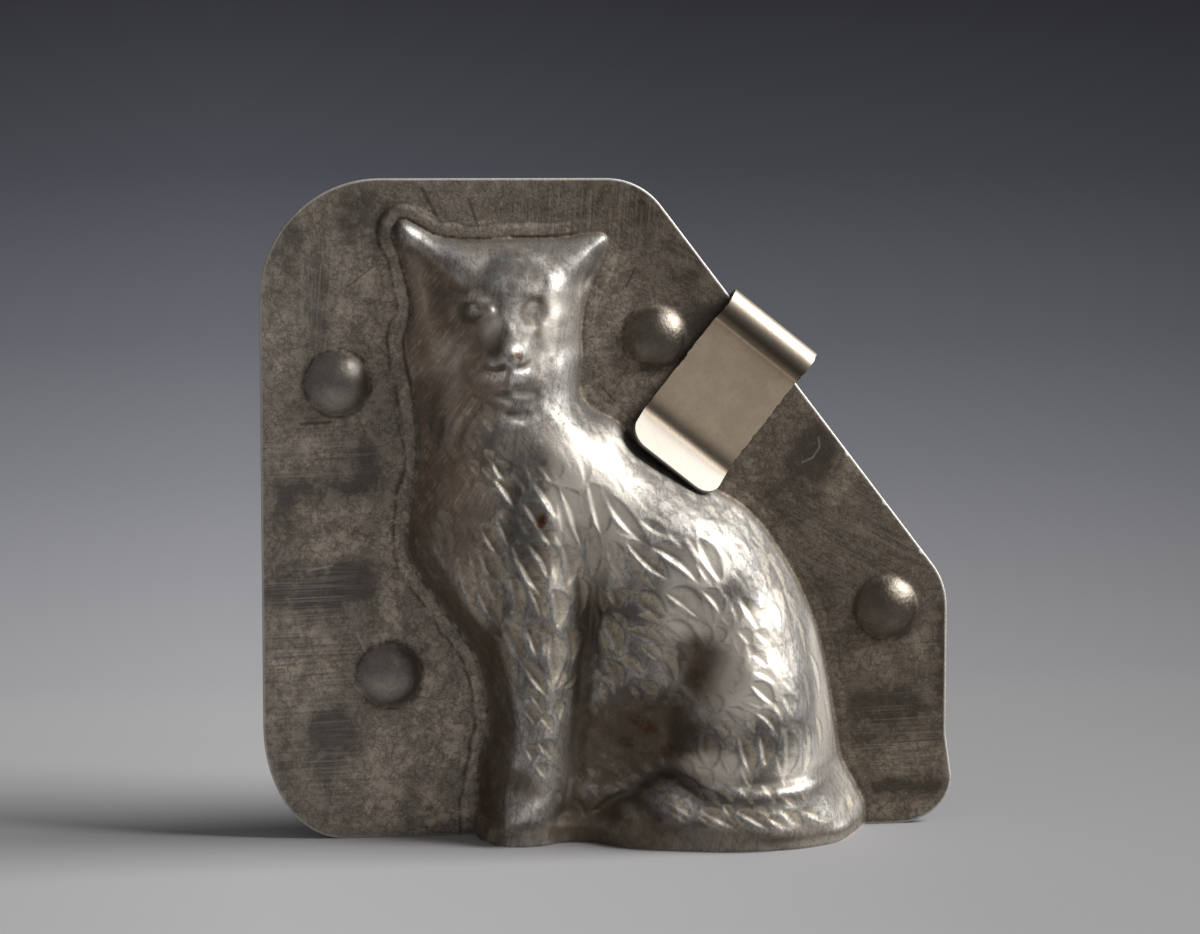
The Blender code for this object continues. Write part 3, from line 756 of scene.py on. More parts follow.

# %% [markdown]
# ## The fur
# The engraver cut the coat with a gouge, one leaf-shaped scoop for each lock. A scoop has a steep edge
# on its lower left, which catches the light, and a floor that rises gently to the other side. Flat metal
# stays between the scoops. The chief locks are listed along their steep edge, and they also say which
# way the coat runs; seeded shallower ones fill the places between.

# %% Locks listed one by one
LOCKS = (  # root x and z, tip x and z, width, bow of the steep edge
    (-20.9, 64, -18.9, 60.7, 1.6, -0.4), (-20.7, 61, -17.7, 56.8, 1.9, 0),
    (-14.5, 60.6, -10.8, 54.6, 1.6, 0.1), (-16.2, 57.3, -13.3, 52.5, 1.4, 0),
    (-10.1, 59.8, -6.5, 49.8, 2, 0), (-5.5, 60.5, -3.1, 51.7, 1.9, -0.5),
    (-2.8, 58.7, 4.4, 50, 1.7, -1.1), (-5.2, 53.2, -4.5, 44.4, 1.2, -0.4),
    (-2.3, 51.2, 0, 44.5, 1.7, -0.6), (0.1, 49.1, 5.6, 42.8, 1.2, -0.9),
    (0.7, 50.8, 7.6, 44.6, 2.2, -0.8), (4.4, 50, 12.6, 43.8, 2.2, 0.5),
    (-1.7, 42.5, 0.1, 39.4, 2.2, -0.3), (1.8, 42.1, 7.5, 38.3, 2, -0.7),
    (7, 42.4, 13.2, 37.8, 2.3, -0.1), (3, 54.4, 8, 51.6, 1.1, -0.6),
    (-9.8, 50.4, -8.9, 43.2, 1.6, 0.4), (-13.3, 52.7, -11.6, 50.1, 1.2, -0.2),
    (9.6, 54.6, 11.6, 51.6, 1.2, 0.3), (12.6, 51.1, 16.1, 44.2, 1.9, -0.8),
    (12.9, 42.8, 16, 38.9, 1.6, 0.2), (11, 37.7, 13.9, 32.8, 1.4, 0.4),
    (14.3, 37, 15.5, 33.8, 1.2, 0.2), (6.9, 37.1, 12.5, 33.4, 1.9, -0.5),
    (9.3, 33.6, 11.9, 30.5, 2, -0.4), (19, 41.6, 21.8, 36.5, 1.6, -0.2),
    (1, 35.7, 7.7, 33.3, 1.6, -0.1), (3.3, 33.4, 7.2, 30.7, 1.6, -0.5),
    (-2.5, 37.2, 0.4, 32.3, 1.7, -0.3), (-2.3, 30.6, 0.7, 26, 1.6, -0.2),
    (0.1, 31.6, 4.1, 28.6, 1.4, -0.5), (6.4, 31.9, 9.5, 27.1, 1.6, 0),
    (3.4, 26.8, 6.7, 24.2, 1.4, -0.2), (22.5, 49.4, 24.8, 42.4, 1.2, 0.3),
    (23.4, 40.8, 26, 35.4, 1.4, 0), (27.9, 41.7, 29.4, 35, 1.1, 0.3),
    (18.2, 50.7, 21.7, 46.5, 1.2, 0.2), (14.1, 53.7, 16.8, 51.4, 1.1, -0.3),
    (15.8, 50.2, 18, 47.1, 1.1, -0.2), (18.9, 19.2, 20.6, 12.4, 1.9, -0.3),
    (22.2, 19.4, 23, 13.9, 1.9, -0.1), (21.2, 23, 25.2, 18.6, 1.4, 0.5),
    (16.7, 23.5, 19.6, 20.5, 1.2, 0.1), (20.4, 27.8, 24.5, 24.1, 1.6, -0.3),
    (25.9, 25.5, 27.9, 21.5, 1.4, 0), (28.3, 21.1, 29.3, 18.3, 0.9, 0.1),
    (26.5, 20, 26.1, 11.6, 1.7, 0.3), (16, 16.7, 17.6, 12.2, 1.6, 0),
    (13.3, 19.2, 14.4, 12.9, 1.9, -0.6), (15, 20.3, 17, 17.4, 1.2, -0.1),
    (29.7, 17.9, 29.7, 12.1, 1.1, 0.4), (-22.9, 53.6, -20, 48.7, 1.9, -0.5),
    (-25, 50.6, -23.4, 43.9, 1.4, -0.2), (-23.6, 43.9, -19.6, 36.1, 1.6, -0.4),
    (-26.5, 47.7, -24.1, 40.1, 1.4, -0.4), (-23.4, 49.3, -20.4, 43.8, 1.9, -0.3),
    (-22.4, 46.1, -19.7, 39.1, 1.2, -0.2), (-18.2, 46, -16.2, 37.8, 1.2, -0.4),
    (-16.9, 48.1, -12.7, 41.2, 1.9, -0.5), (-15.4, 43.5, -13.5, 38.5, 1.2, 0.2),
    (-15.3, 50.6, -12.2, 44.8, 2, 0.2), (-11.5, 43.1, -10.6, 36.4, 1.7, 0.1),
    (-7.2, 45.2, -6.5, 37.4, 1.4, -0.1), (-19.5, 37.3, -16.2, 31.3, 1.9, -0.3),
    (-15.7, 37.8, -13.9, 31.9, 1.7, -0.4), (-11.6, 34.4, -11, 27.3, 1.6, -0.3),
    (-9.1, 36.5, -7.8, 30.4, 1.9, -0.2), (-4.7, 40.8, -4.3, 33.3, 1.2, -0.3),
    (-19.6, 32.6, -17.6, 26.2, 1.4, -0.1), (-16.3, 31.4, -12.4, 25.3, 1.7, -0.4),
    (-20.5, 54.7, -18.7, 50.1, 1.6, 0), (-17.9, 50.6, -16.7, 46.5, 1.2, -0.1),
    (-15.5, 26.8, -12.6, 21.6, 1.2, -0.1), (-16.5, 23.8, -14.1, 20.2, 1.6, 0.1),
    (-13.7, 22.2, -11.3, 18.8, 1.1, 0.1), (-6.9, 28.4, -9.7, 26.5, 0.9, 0.3),
    (-13.9, 17.6, -11.6, 14.6, 1.6, 0), (-16.1, 17.2, -14.7, 14.3, 1.6, 0),
    (-10.6, 24.6, -10, 21.1, 1.1, -0.1), (-14, 14, -12.5, 11.5, 1.2, -0.2),
    (25.7, 6.6, 28.9, 2.3, 1.6, 0), (16, 7.8, 17.4, 5.5, 1.2, -0.2), (6.1, 8.3, 10.9, 6.1, 1.4, 0),
    (8.6, 10.4, 13.4, 7.5, 1.6, 0.1), (12.3, 6.6, 18.6, 3.9, 1.6, -0.3),
    (17.9, 6.7, 23.9, 3.4, 1.6, 0), (22.7, 5.8, 28.1, 2.1, 1.2, 0.1), (29, 6.2, 34.7, 3, 1.4, 0.2),
    (39, 6.5, 39.5, 2.9, 1.2, 0), (32.7, 8.1, 34, 5.4, 1.1, -0.2),
    (25.5, 47, 28.6, 39.5, 0.8, 0.5), (28.2, 46.2, 31.6, 38, 0.7, 0.6),
    (29, 38.4, 31.4, 30.4, 0.8, 0.4), (31.8, 40.6, 34.4, 31.6, 0.7, 0.5),
    (32.4, 31, 34.4, 22.4, 0.8, 0.3), (34.8, 33.6, 36.6, 25, 0.6, 0.3),
    (29.6, 29.2, 31.4, 22.6, 0.8, 0.2), (35.6, 23.6, 36.8, 16.6, 0.7, 0.2),
    (32.8, 20.8, 33.8, 14.8, 0.8, 0.2), (22.6, 50.6, 25.6, 45.6, 0.7, 0.3),
    (30.2, 20.6, 31, 14.6, 0.7, 0.1), (37.6, 20, 38.8, 13.4, 0.6, 0.2),
)

# %% Cut the coat
lock_table = np.array(LOCKS)
lock_runs = lock_table[:, 2:4] - lock_table[:, :2]
lock_lengths = np.hypot(lock_runs[:, 0], lock_runs[:, 1])
lock_ways = lock_runs / lock_lengths[:, None]
lock_sides = np.stack([-lock_ways[:, 1], lock_ways[:, 0]], axis=1)
lock_middles = (lock_table[:, :2] + lock_table[:, 2:4]) / 2 + lock_sides * lock_table[:, 4:5] / 2


def coat_at(point):
    """Direction and length of the coat at a point, from the nearest listed locks."""
    gap = np.hypot(*(lock_middles - point).T)
    weight = np.exp(-(gap / 3.5)**2) + 1e-9 / (1 + gap**2)
    way = (lock_ways * weight[:, None]).sum(axis=0)
    length = (lock_lengths * weight).sum() / weight.sum()
    return way / np.hypot(*way), length


def patch(x, z, half_width, half_height, tilt=0, soft=0.35):
    """A soft-edged oval, 1 inside and 0 outside."""
    return smoothstep(1 + soft, 1 - soft, np.hypot(*turned(x, z, half_width, half_height, tilt)))


def scoop(table, cover, seams, root, tip, width, depth, bow=0.0):
    """Cut one leaf-shaped scoop; its steep edge runs from root to tip.

    The place of its floor goes into cover, and the dark seam round it into seams."""
    (x0, z0), (x1, z1) = root, tip
    length = math.hypot(x1 - x0, z1 - z0)
    reach = width * 1.3 + abs(bow)
    left = max(0, int((min(x0, x1) - reach - GRID_X[0]) / PITCH))
    right = int((max(x0, x1) + reach - GRID_X[0]) / PITCH) + 2
    low = max(0, int((min(z0, z1) - reach - GRID_Z[0]) / PITCH))
    high = int((max(z0, z1) + reach - GRID_Z[0]) / PITCH) + 2
    window = (slice(low, high), slice(left, right))
    x, z = XX[window] - x0, ZZ[window] - z0
    way_x, way_z = (x1 - x0) / length, (z1 - z0) / length
    s = (x * way_x + z * way_z) / length
    body = np.clip(s, 0, 1)
    across = x * -way_z + z * way_x - bow * 4 * body * (1 - body)
    swelling = np.sin(math.pi * body**0.85)  # 0 at both ends, widest past the middle
    leaf = width * swelling**0.75
    there = leaf > 0.15 * width
    u = across / np.maximum(leaf, 0.05)
    floor = smoothstep(-0.12, 0.26, u) * np.clip(1.06 - u, 0, 1)**0.8
    ends = swelling**0.5
    cut = -depth * floor * ends * there
    np.minimum(table[window], cut, out=table[window])
    place = smoothstep(-0.15, 0.1, u) * smoothstep(1.15, 0.9, u) * smoothstep(0.1, 0.4, ends)
    np.maximum(cover[window], place * there, out=cover[window])
    seam = np.exp(-((u - 1.12) / 0.17)**2) + 0.8 * np.exp(-((u + 0.27) / 0.15)**2)
    seam *= smoothstep(0.1, 0.5, ends) * there
    np.maximum(seams[window], np.clip(seam, 0, 1), out=seams[window])


open_coat = smoothstep(0.6, 2.4, depth_in) * smoothstep(3.6, 5, ZZ)
furry = open_coat.copy()
for x, z, half_width, half_height, tilt, share in (
        (-19.5, 91, 19, 17.5, 0, 1),  # the face and the ears
        (-16.5, 76, 6.5, 8, 0, 1),  # muzzle and chin
        (-16.2, 4, 8, 4.6, 0, 1),  # forepaw
        (1.6, 5.2, 4.4, 3.4, 0, 1),  # hind toes
        (4, 64, 13, 6, 35, 0.5),  # smooth back of the neck
        (14.4, 30.5, 4.4, 5.8, -20, 0.9),  # hollow before the haunch
        (3.6, 18.4, 8.4, 6.4, -14, 0.8),  # bare hollow under the belly
        (-4.9, 30, 1.6, 18, 0, 0.8),  # behind the foreleg
        (-19, 11.5, 4, 4, 0, 0.9),  # ankle
        (-12.5, 17, 6.5, 10, 0, 0.9),  # lower foreleg
        (-13, 66.5, 9, 4, 0, 0.8),  # throat
        (37, 28, 8, 26, 0, 0.95),  # right side of the haunch
        (38, 6, 9, 9, 0, 0.9),  # and of the tail
        (-27, 56, 3.5, 12, 0, 0.6),  # left side of the chest
        (-22.5, 56.5, 3, 4.5, 0, 0.8),  # plain swelling of the chest
        (-8.3, 16, 1.4, 10, 0, 0.8)):  # right side of the foreleg
    furry *= 1 - share * patch(x, z, half_width, half_height, tilt)

CHIEF_WIDTH, CHIEF_DEPTH = 1.25, 0.43  # shares of the width in the list
CHEST_WIDTH = 1.25  # the locks of the chest are broader still
SMALL_LENGTH, SMALL_WIDTH, SMALL_DEPTH = (2.4, 6.0), (1.1, 1.7), 0.25
STRAY = 0.16  # how far a lock strays from the coat's direction
BARE = 0.12  # below this share of fur no lock is laid
TRIES = 9000
chance = np.random.default_rng(11)
chief, chief_cover, chief_seams = (np.zeros(XX.shape) for _ in range(3))
for x0, z0, x1, z1, width, bow in LOCKS:
    if -27 < x0 < -3 and z0 > 34:
        width *= CHEST_WIDTH
    scoop(chief, chief_cover, chief_seams, (x0, z0), (x1, z1), CHIEF_WIDTH * width,
          CHIEF_DEPTH * width, bow)
small, small_cover, small_seams = (np.zeros(XX.shape) for _ in range(3))
laid = [(*middle, length, width, *way) for middle, length, width, way
        in zip(lock_middles, lock_lengths, lock_table[:, 4], lock_ways)]
for _ in range(TRIES):
    middle = (chance.uniform(-36, 44), chance.uniform(0.5, 72))
    if look_up(furry, np.array([middle]))[0] < BARE:
        continue
    way, length = coat_at(middle)
    length = np.clip(length * chance.uniform(0.5, 0.9), *SMALL_LENGTH)
    width = chance.uniform(*SMALL_WIDTH)
    way = np.array(rotate(*way, chance.normal(0, STRAY)))
    others = np.array(laid)
    gap = others[:, :2] - middle
    along = np.abs(gap @ way) / (0.5 * (length + others[:, 2]))
    across = np.abs(gap[:, 0] * -way[1] + gap[:, 1] * way[0]) / (0.5 * (width + others[:, 3]) + 0.2)
    if np.min(along**2 + across**2) < 1:
        continue
    root = middle - way * length / 2 - np.array([-way[1], way[0]]) * width / 2
    scoop(small, small_cover, small_seams, root, root + way * length, width,
          SMALL_DEPTH * width, chance.uniform(-0.3, 0.3))
    laid.append((*middle, length, width, *way))
coat = np.minimum(chief * open_coat, small * furry)
in_fur = smoothstep(0.1, 0.5, furry)
leaves = np.maximum(chief_cover * open_coat, small_cover * in_fur)
seams = np.maximum(chief_seams * open_coat, 0.6 * small_seams * in_fur)
seams *= 1 - 0.6 * leaves
print("locks:", len(laid), "of them by hand:", len(LOCKS))

# %% [markdown]
# ## The face
# The face is small bumps and hollows added to the skull and the muzzle: two eye sockets with
# their eyeballs, brows, a straight nose with its two nostrils, whisker pads, a mouth and a
# chin. Each one is a bell-shaped rise with its own size, placed from the picture. A few wide,
# low ones turn the flanks to the light or away from it, as the worn die did.

# %% Cut the face
def bump(x, z, height, half_width, half_length, tilt=0):
    u, v = turned(x, z, half_width, half_length, tilt)
    return height * np.exp(-1.2 * (u**2 + v**2)**1.3)


def groove(points, depth, half_width):
    path = smooth_path(points, 0.8)
    return -depth * np.exp(-(path_distance(path) / half_width)**2)


face = sum([
    bump(-23.6, 88.4, -1, 2.6, 1.8),  # left socket
    bump(-23.7, 88.5, 1.2, 1.4, 1.2),  # left eyeball
    bump(-21.5, 88.7, 0.8, 0.9, 0.8),  # inner corner
    bump(-23.7, 90.1, 0.5, 2, 0.5),  # lid
    bump(-20.9, 84, -0.5, 1.3, 2.4, 10),  # left side of the nose
    bump(-21.6, 87.4, 0.5, 1.6, 3.4),  # bridge, softened on its left
    bump(-14, 88.3, -1.2, 2.2, 2.3, 12),  # right socket
    bump(-14.1, 88.5, 0.5, 1.5, 1.5),  # right eyeball
    bump(-10.8, 88, 0.5, 2.2, 5.4, 6),  # crest beside it
    bump(-24.6, 90.9, 0.5, 2.6, 0.9, 8),  # brows
    bump(-17.6, 82, 0.9, 3, 2),  # tip of the nose
    bump(-23, 78.2, 1.2, 3, 2.2, -10),  # whisker pads
    bump(-15.6, 77.6, 0.7, 2.8, 1.6),
    bump(-17.8, 70.2, 0.5, 2.2, 1),  # chin
    bump(-27.6, 74.6, 0.7, 1.6, 3.2, 14),  # flap of the left cheek
    bump(-8.4, 81, 0.4, 2.6, 5),  # right cheek
    groove(((-22.6, 79.9), (-21, 79.2), (-19.6, 79.6)), 0.8, 0.5),  # under the nose
    groove(((-17, 79.4), (-15.9, 79.6), (-15, 80.2)), 0.4, 0.5),
    groove(((-18.7, 79.2), (-18.9, 76.6)), 0.35, 0.4),
    groove(((-21.8, 76.3), (-19.6, 75.2), (-17, 75.5), (-14, 75.2)), 0.2, 0.6),
    groove(((-18.6, 72), (-16.8, 71.6), (-15.4, 72)), 0.3, 0.6),
    groove(((-25.4, 80.2), (-25.9, 78.4), (-24.7, 76.1), (-22.6, 74.5), (-19.4, 73.1)), 0.35, 0.45),
    groove(((-26.6, 83.6), (-28.6, 80.2)), 0.35, 0.6),  # folds of the cheek
    groove(((-23, 73.4), (-25.4, 70), (-26.6, 66.6)), 0.45, 0.6),
    groove(((-29, 71), (-29.8, 66)), 0.45, 0.5),
])
ears = sum([
    bump(-29.4, 88.6, -2, 4.6, 6.4, -30),  # hollow of the left ear
    groove(((-33.8, 98), (-30.5, 95.6), (-25.6, 91.6)), 0.7, 0.7),
    bump(-28.2, 98, 0.7, 2.8, 6.8, -56),  # its ridge
    bump(-32.2, 90.8, 0.9, 1.2, 4.6, -6),  # its outer edge
    bump(-3.6, 94.6, -0.8, 2, 5, 35),  # hollow of the right ear
    groove(((-1.4, 97.6), (-3.9, 94), (-5, 89.6)), 0.4, 0.45),
    bump(-7.4, 95.4, 0.7, 2.6, 6.6, 50),
    bump(-19, 97.6, 0.35, 12, 0.9),  # edge of the forehead
    bump(-19, 95.4, -0.35, 9, 1.4),
])
round_head = 0.4 * smoothstep(102, 97, ZZ) + 0.6 * smoothstep(92, 88, ZZ)
round_head *= smoothstep(70, 76, ZZ)
face -= 0.019 * np.clip(np.abs(XX + 19.3) - 2, 0, 11)**2 * round_head
slopes = sum([  # these turn the flanks to the light
    bump(-13, 61, 1.4, 7.5, 9, 30),
    bump(1.5, 63, -1.9, 8, 9, 35),
    bump(20, 33, 1.3, 4.6, 8, -10),
    bump(13.5, 47, -0.8, 7, 9, 40),
    bump(1, 48, 0.6, 6, 8, 30),
])
TAIL_LINE = smooth_path(((6, 13), (12, 12), (20.8, 10.4), (27.3, 10.6), (40, 11.6)), 1)
over_tail = ZZ - np.interp(XX, TAIL_LINE[:, 0], TAIL_LINE[:, 1])
tail_step = 1.1 * smoothstep(1.1, -1.1, over_tail) + 0.4 * np.exp(-((over_tail + 0.9) / 1.2)**2)
hollows = sum([  # on both halves
    bump(13.4, 30.5, -2.6, 3.6, 5.2, -15),  # between belly and haunch
    bump(3.5, 18.5, -1.2, 7, 5),  # under the belly
    groove(((-3, 47), (-3.4, 40), (-4.8, 31), (-6, 21), (-6.6, 11)), 0.5, 1.2),
    bump(-5.2, 26, -0.7, 2.2, 12, 3),
])
paws = sum([  # on the front only
    bump(-18.4, 11.4, -1, 3.4, 2.2, 20),  # ankle
    bump(-15, 6.6, 0.4, 3.4, 1.6, -24),  # back of the paw
    bump(1.6, 4.2, 0.9, 3.6, 1.7, 6),  # hind toes
    groove(((-2.8, 5), (-0.5, 7), (2.6, 7.4), (5.6, 5.8)), 0.7, 0.9),
    tail_step * smoothstep(10, 16, XX),
])
face_fur = 0.12 * waviness(5, 1.4, 2.2) * patch(-19.5, 86, 15, 15) + 0.2 * waviness(6, 3, 3.4)
print("face: deepest cut", round(float((face + ears).min()), 2), "mm")

# %% [markdown]
# ## The flange
# Round the foot of the relief the sheet keeps a low step, where the die's edge held it. The
# rest was flat once; a century of handling left it slightly wavy. The domes belong to the
# same sheet.

# %% Finish both tables
LEDGE_WIDTH, LEDGE_HEIGHT = 2.3, 0.4
outside = -depth_in
lit_side = smoothstep(-14, -2, XX)  # there the step is worn away
ledge = LEDGE_HEIGHT * smoothstep(LEDGE_WIDTH + 0.6, LEDGE_WIDTH - 0.8, outside)
ledge *= 1 - 0.8 * lit_side
wavy = 0.06 * waviness(3, 14, 11) + 0.02 * waviness(4, 5, 4)


def ball(radius, sunk, reach):
    """Height of a ball at each dome; its middle lies below the flange's face."""
    height = np.sqrt(np.clip(radius**2 - dome_distance**2, 0, None)) - sunk
    return np.where(dome_distance < reach, np.maximum(height, 0), 0)


def flanged(layers, details):
    """Heights of one half, with the step and the slight waves of its flange."""
    height = press(layers, details)
    height += np.where(inside, 0, (ledge + wavy) * smoothstep(1.6, 3, ZZ + 1.5))
    return blur(height, 0.12)


nest = dome_sphere - 2 * SHEET - HALF_GAP
dome = ball(dome_sphere, dome_sphere - DOME_HEIGHT, DOME_RADIUS)
dent = ball(nest, dome_sphere - DOME_HEIGHT - 2 * STACK, nest)
front_table = flanged(body + front_only, coat + face + ears + hollows + paws + slopes + face_fur)
front_table += blur(dome, 0.25)
back_table = flanged(body + back_only, coat * 0.8 + hollows + face_fur) - blur(dent, 0.25)

# %% [markdown]
# ## Where the metal is worn, and where light and shade are painted
# The colours below need to know the shape: which points are crests, which lie in a scoop or
# on the seam round it, how far a point is from the foot, the rim or a dome. Dark lines of
# painted shade follow the ledge, the foot of the relief and the feet of the domes, and the cut
# edge is pale, partly a painted highlight. Soft ovals add what use has left on the tin, and
# painted light and shade: worn places that are also painted highlights, bright and dull places
# that are partly painted highlights and painted shade, a brown tone in the cheek that is also
# painted fill light on the slopes facing left, grime together with painted shade, rust, pale and
# dark stains, one of them the clip's painted shadow, and the bands that clips have rubbed. The
# left walls and the eye sockets get painted shade as well. Each mark is one number
# for every point of the sheet. The back of the head has no face, so its ovals stay off it.

# %% Mark the sheets
FLANGE_TONES = (  # x, z, half width, half height, tilt; above zero pale, below dark
    (-48.5, 104.5, 3.2, 3.6, 20, 0.7), (-53.6, 97.5, 2.6, 7.9, 12, -0.5),
    (-40.8, 104, 8.1, 5.6, 0, -0.5), (-48.6, 92.5, 2.3, 10.2, 0, -0.6),
    (-54.1, 81.9, 2.4, 9.8, 0, 0.15), (-42, 87.6, 5.5, 8.5, 0, 0.45),
    (-35.9, 93.3, 2.3, 6.6, -12, 0.3), (-50.9, 65, 7.7, 4.3, 0, 0.25),
    (-40.7, 62.7, 2.3, 5.2, 0, -0.8), (-48.8, 58.6, 7.1, 3, 0, -0.55),
    (-54.7, 53.7, 1.8, 4.9, 0, -0.8), (-43.9, 52.2, 6.8, 4.6, 0, 0.55),
    (-50, 42, 8.4, 4.3, 0, -0.7), (-49.3, 47.6, 2.9, 2.3, 0, 0.5),
    (-44, 43.9, 2.6, 3, 0, -0.6), (-40.7, 42.7, 1.6, 5.2, 0, -0.5),
    (-36.7, 41.7, 2.1, 11.5, 0, 0.55), (-51.2, 30.3, 7.1, 6.9, 0, 0.5),
    (-46.4, 17.5, 4.2, 5.6, 0, -0.8), (-52.2, 10.9, 5.8, 7.9, -10, -0.25),
    (-37.9, 10.6, 4.2, 9.2, 0, 0.8), (-28.8, 19.7, 4.8, 8.2, 0, 0.45),
    (-34.1, 6.2, 1.1, 5.2, 0, -0.45), (-29.9, 5.1, 2.9, 3, 0, 0.6),
    (-47.3, 1.8, 6.5, 2, 0, 0.1), (0.8, 84.8, 4.2, 14.8, 0, 0.4),
    (-8.5, 105.6, 9.7, 3.9, 0, -0.2), (4.9, 103.9, 6.5, 5.6, 30, -0.35),
    (13.4, 95.5, 4.2, 6.6, 30, -0.5), (9.7, 92.2, 2.6, 2.3, 0, 0.3),
    # the first oval of the next row, at 15.1, 84.7, is the clip's painted shadow on the flange
    (15.1, 84.7, 3.2, 5.6, 40, -0.9), (5, 75.5, 3.9, 3.3, 0, 0.35),
    (34.3, 63.9, 4.2, 4.6, 30, -0.95), (33.1, 71.1, 3.5, 2.6, 20, 0.25),
    (30.6, 55.9, 6.5, 3.9, 20, -0.5), (24.1, 59.3, 3.9, 6.6, 30, 0.4),
    (41.2, 61.1, 2.3, 8.2, 35, 0.6), (50.5, 48.8, 3.2, 9.8, 35, -0.2),
    (37.5, 40.4, 3.9, 4.9, 0, -0.4), (44.4, 50.6, 6.5, 4.3, 20, 0.05),
    (40.2, 33.5, 1.9, 5.9, -10, 0.35), (49.7, 30.8, 6.5, 4.9, 0, 0.2),
    (44.9, 27.4, 3.9, 4.3, 0, 0.4), (49.5, 20.5, 5.5, 3.6, 0, -0.65),
    (43.2, 18.9, 2.3, 8.2, -10, -0.55), (55, 22.9, 2.3, 8.2, 0, -0.1),
    (56.9, 28, 0.6, 9.8, 0, -0.8), (50.8, 11.3, 7.1, 2.6, 0, 0.75),
    (50.8, 6.4, 7.7, 1.3, 0, -0.95), (50.9, 2.6, 6.5, 2.1, 0, 0.5),
)


def cavity(table):
    """Above zero on small crests, below zero in small hollows."""
    return np.clip((table - blur(table, 0.7)) / 0.35, -1, 1)


wander = outside + 0.5 * waviness(8, 2.6, 2.6)
# painted shade: dark lines along the ledge's outer edge and the foot of the relief, weaker on the lit
# side, and round the foot of each dome
crease = 0.9 * np.exp(-((wander - LEDGE_WIDTH - 0.1) / 0.25)**2) * (1 - 0.5 * lit_side)
crease += 0.5 * np.exp(-(outside / 0.35)**2) * (1 - 0.75 * lit_side)
crease += np.exp(-((dome_distance - DOME_RADIUS - 0.1) / 0.3)**2)


def painted(places):
    """Add up soft ovals: x, z, half width, half height, tilt and strength."""
    return np.clip(sum(share * patch(x, z, wide, high, tilt, 0.5)
                       for x, z, wide, high, tilt, share in places), -1, 1)


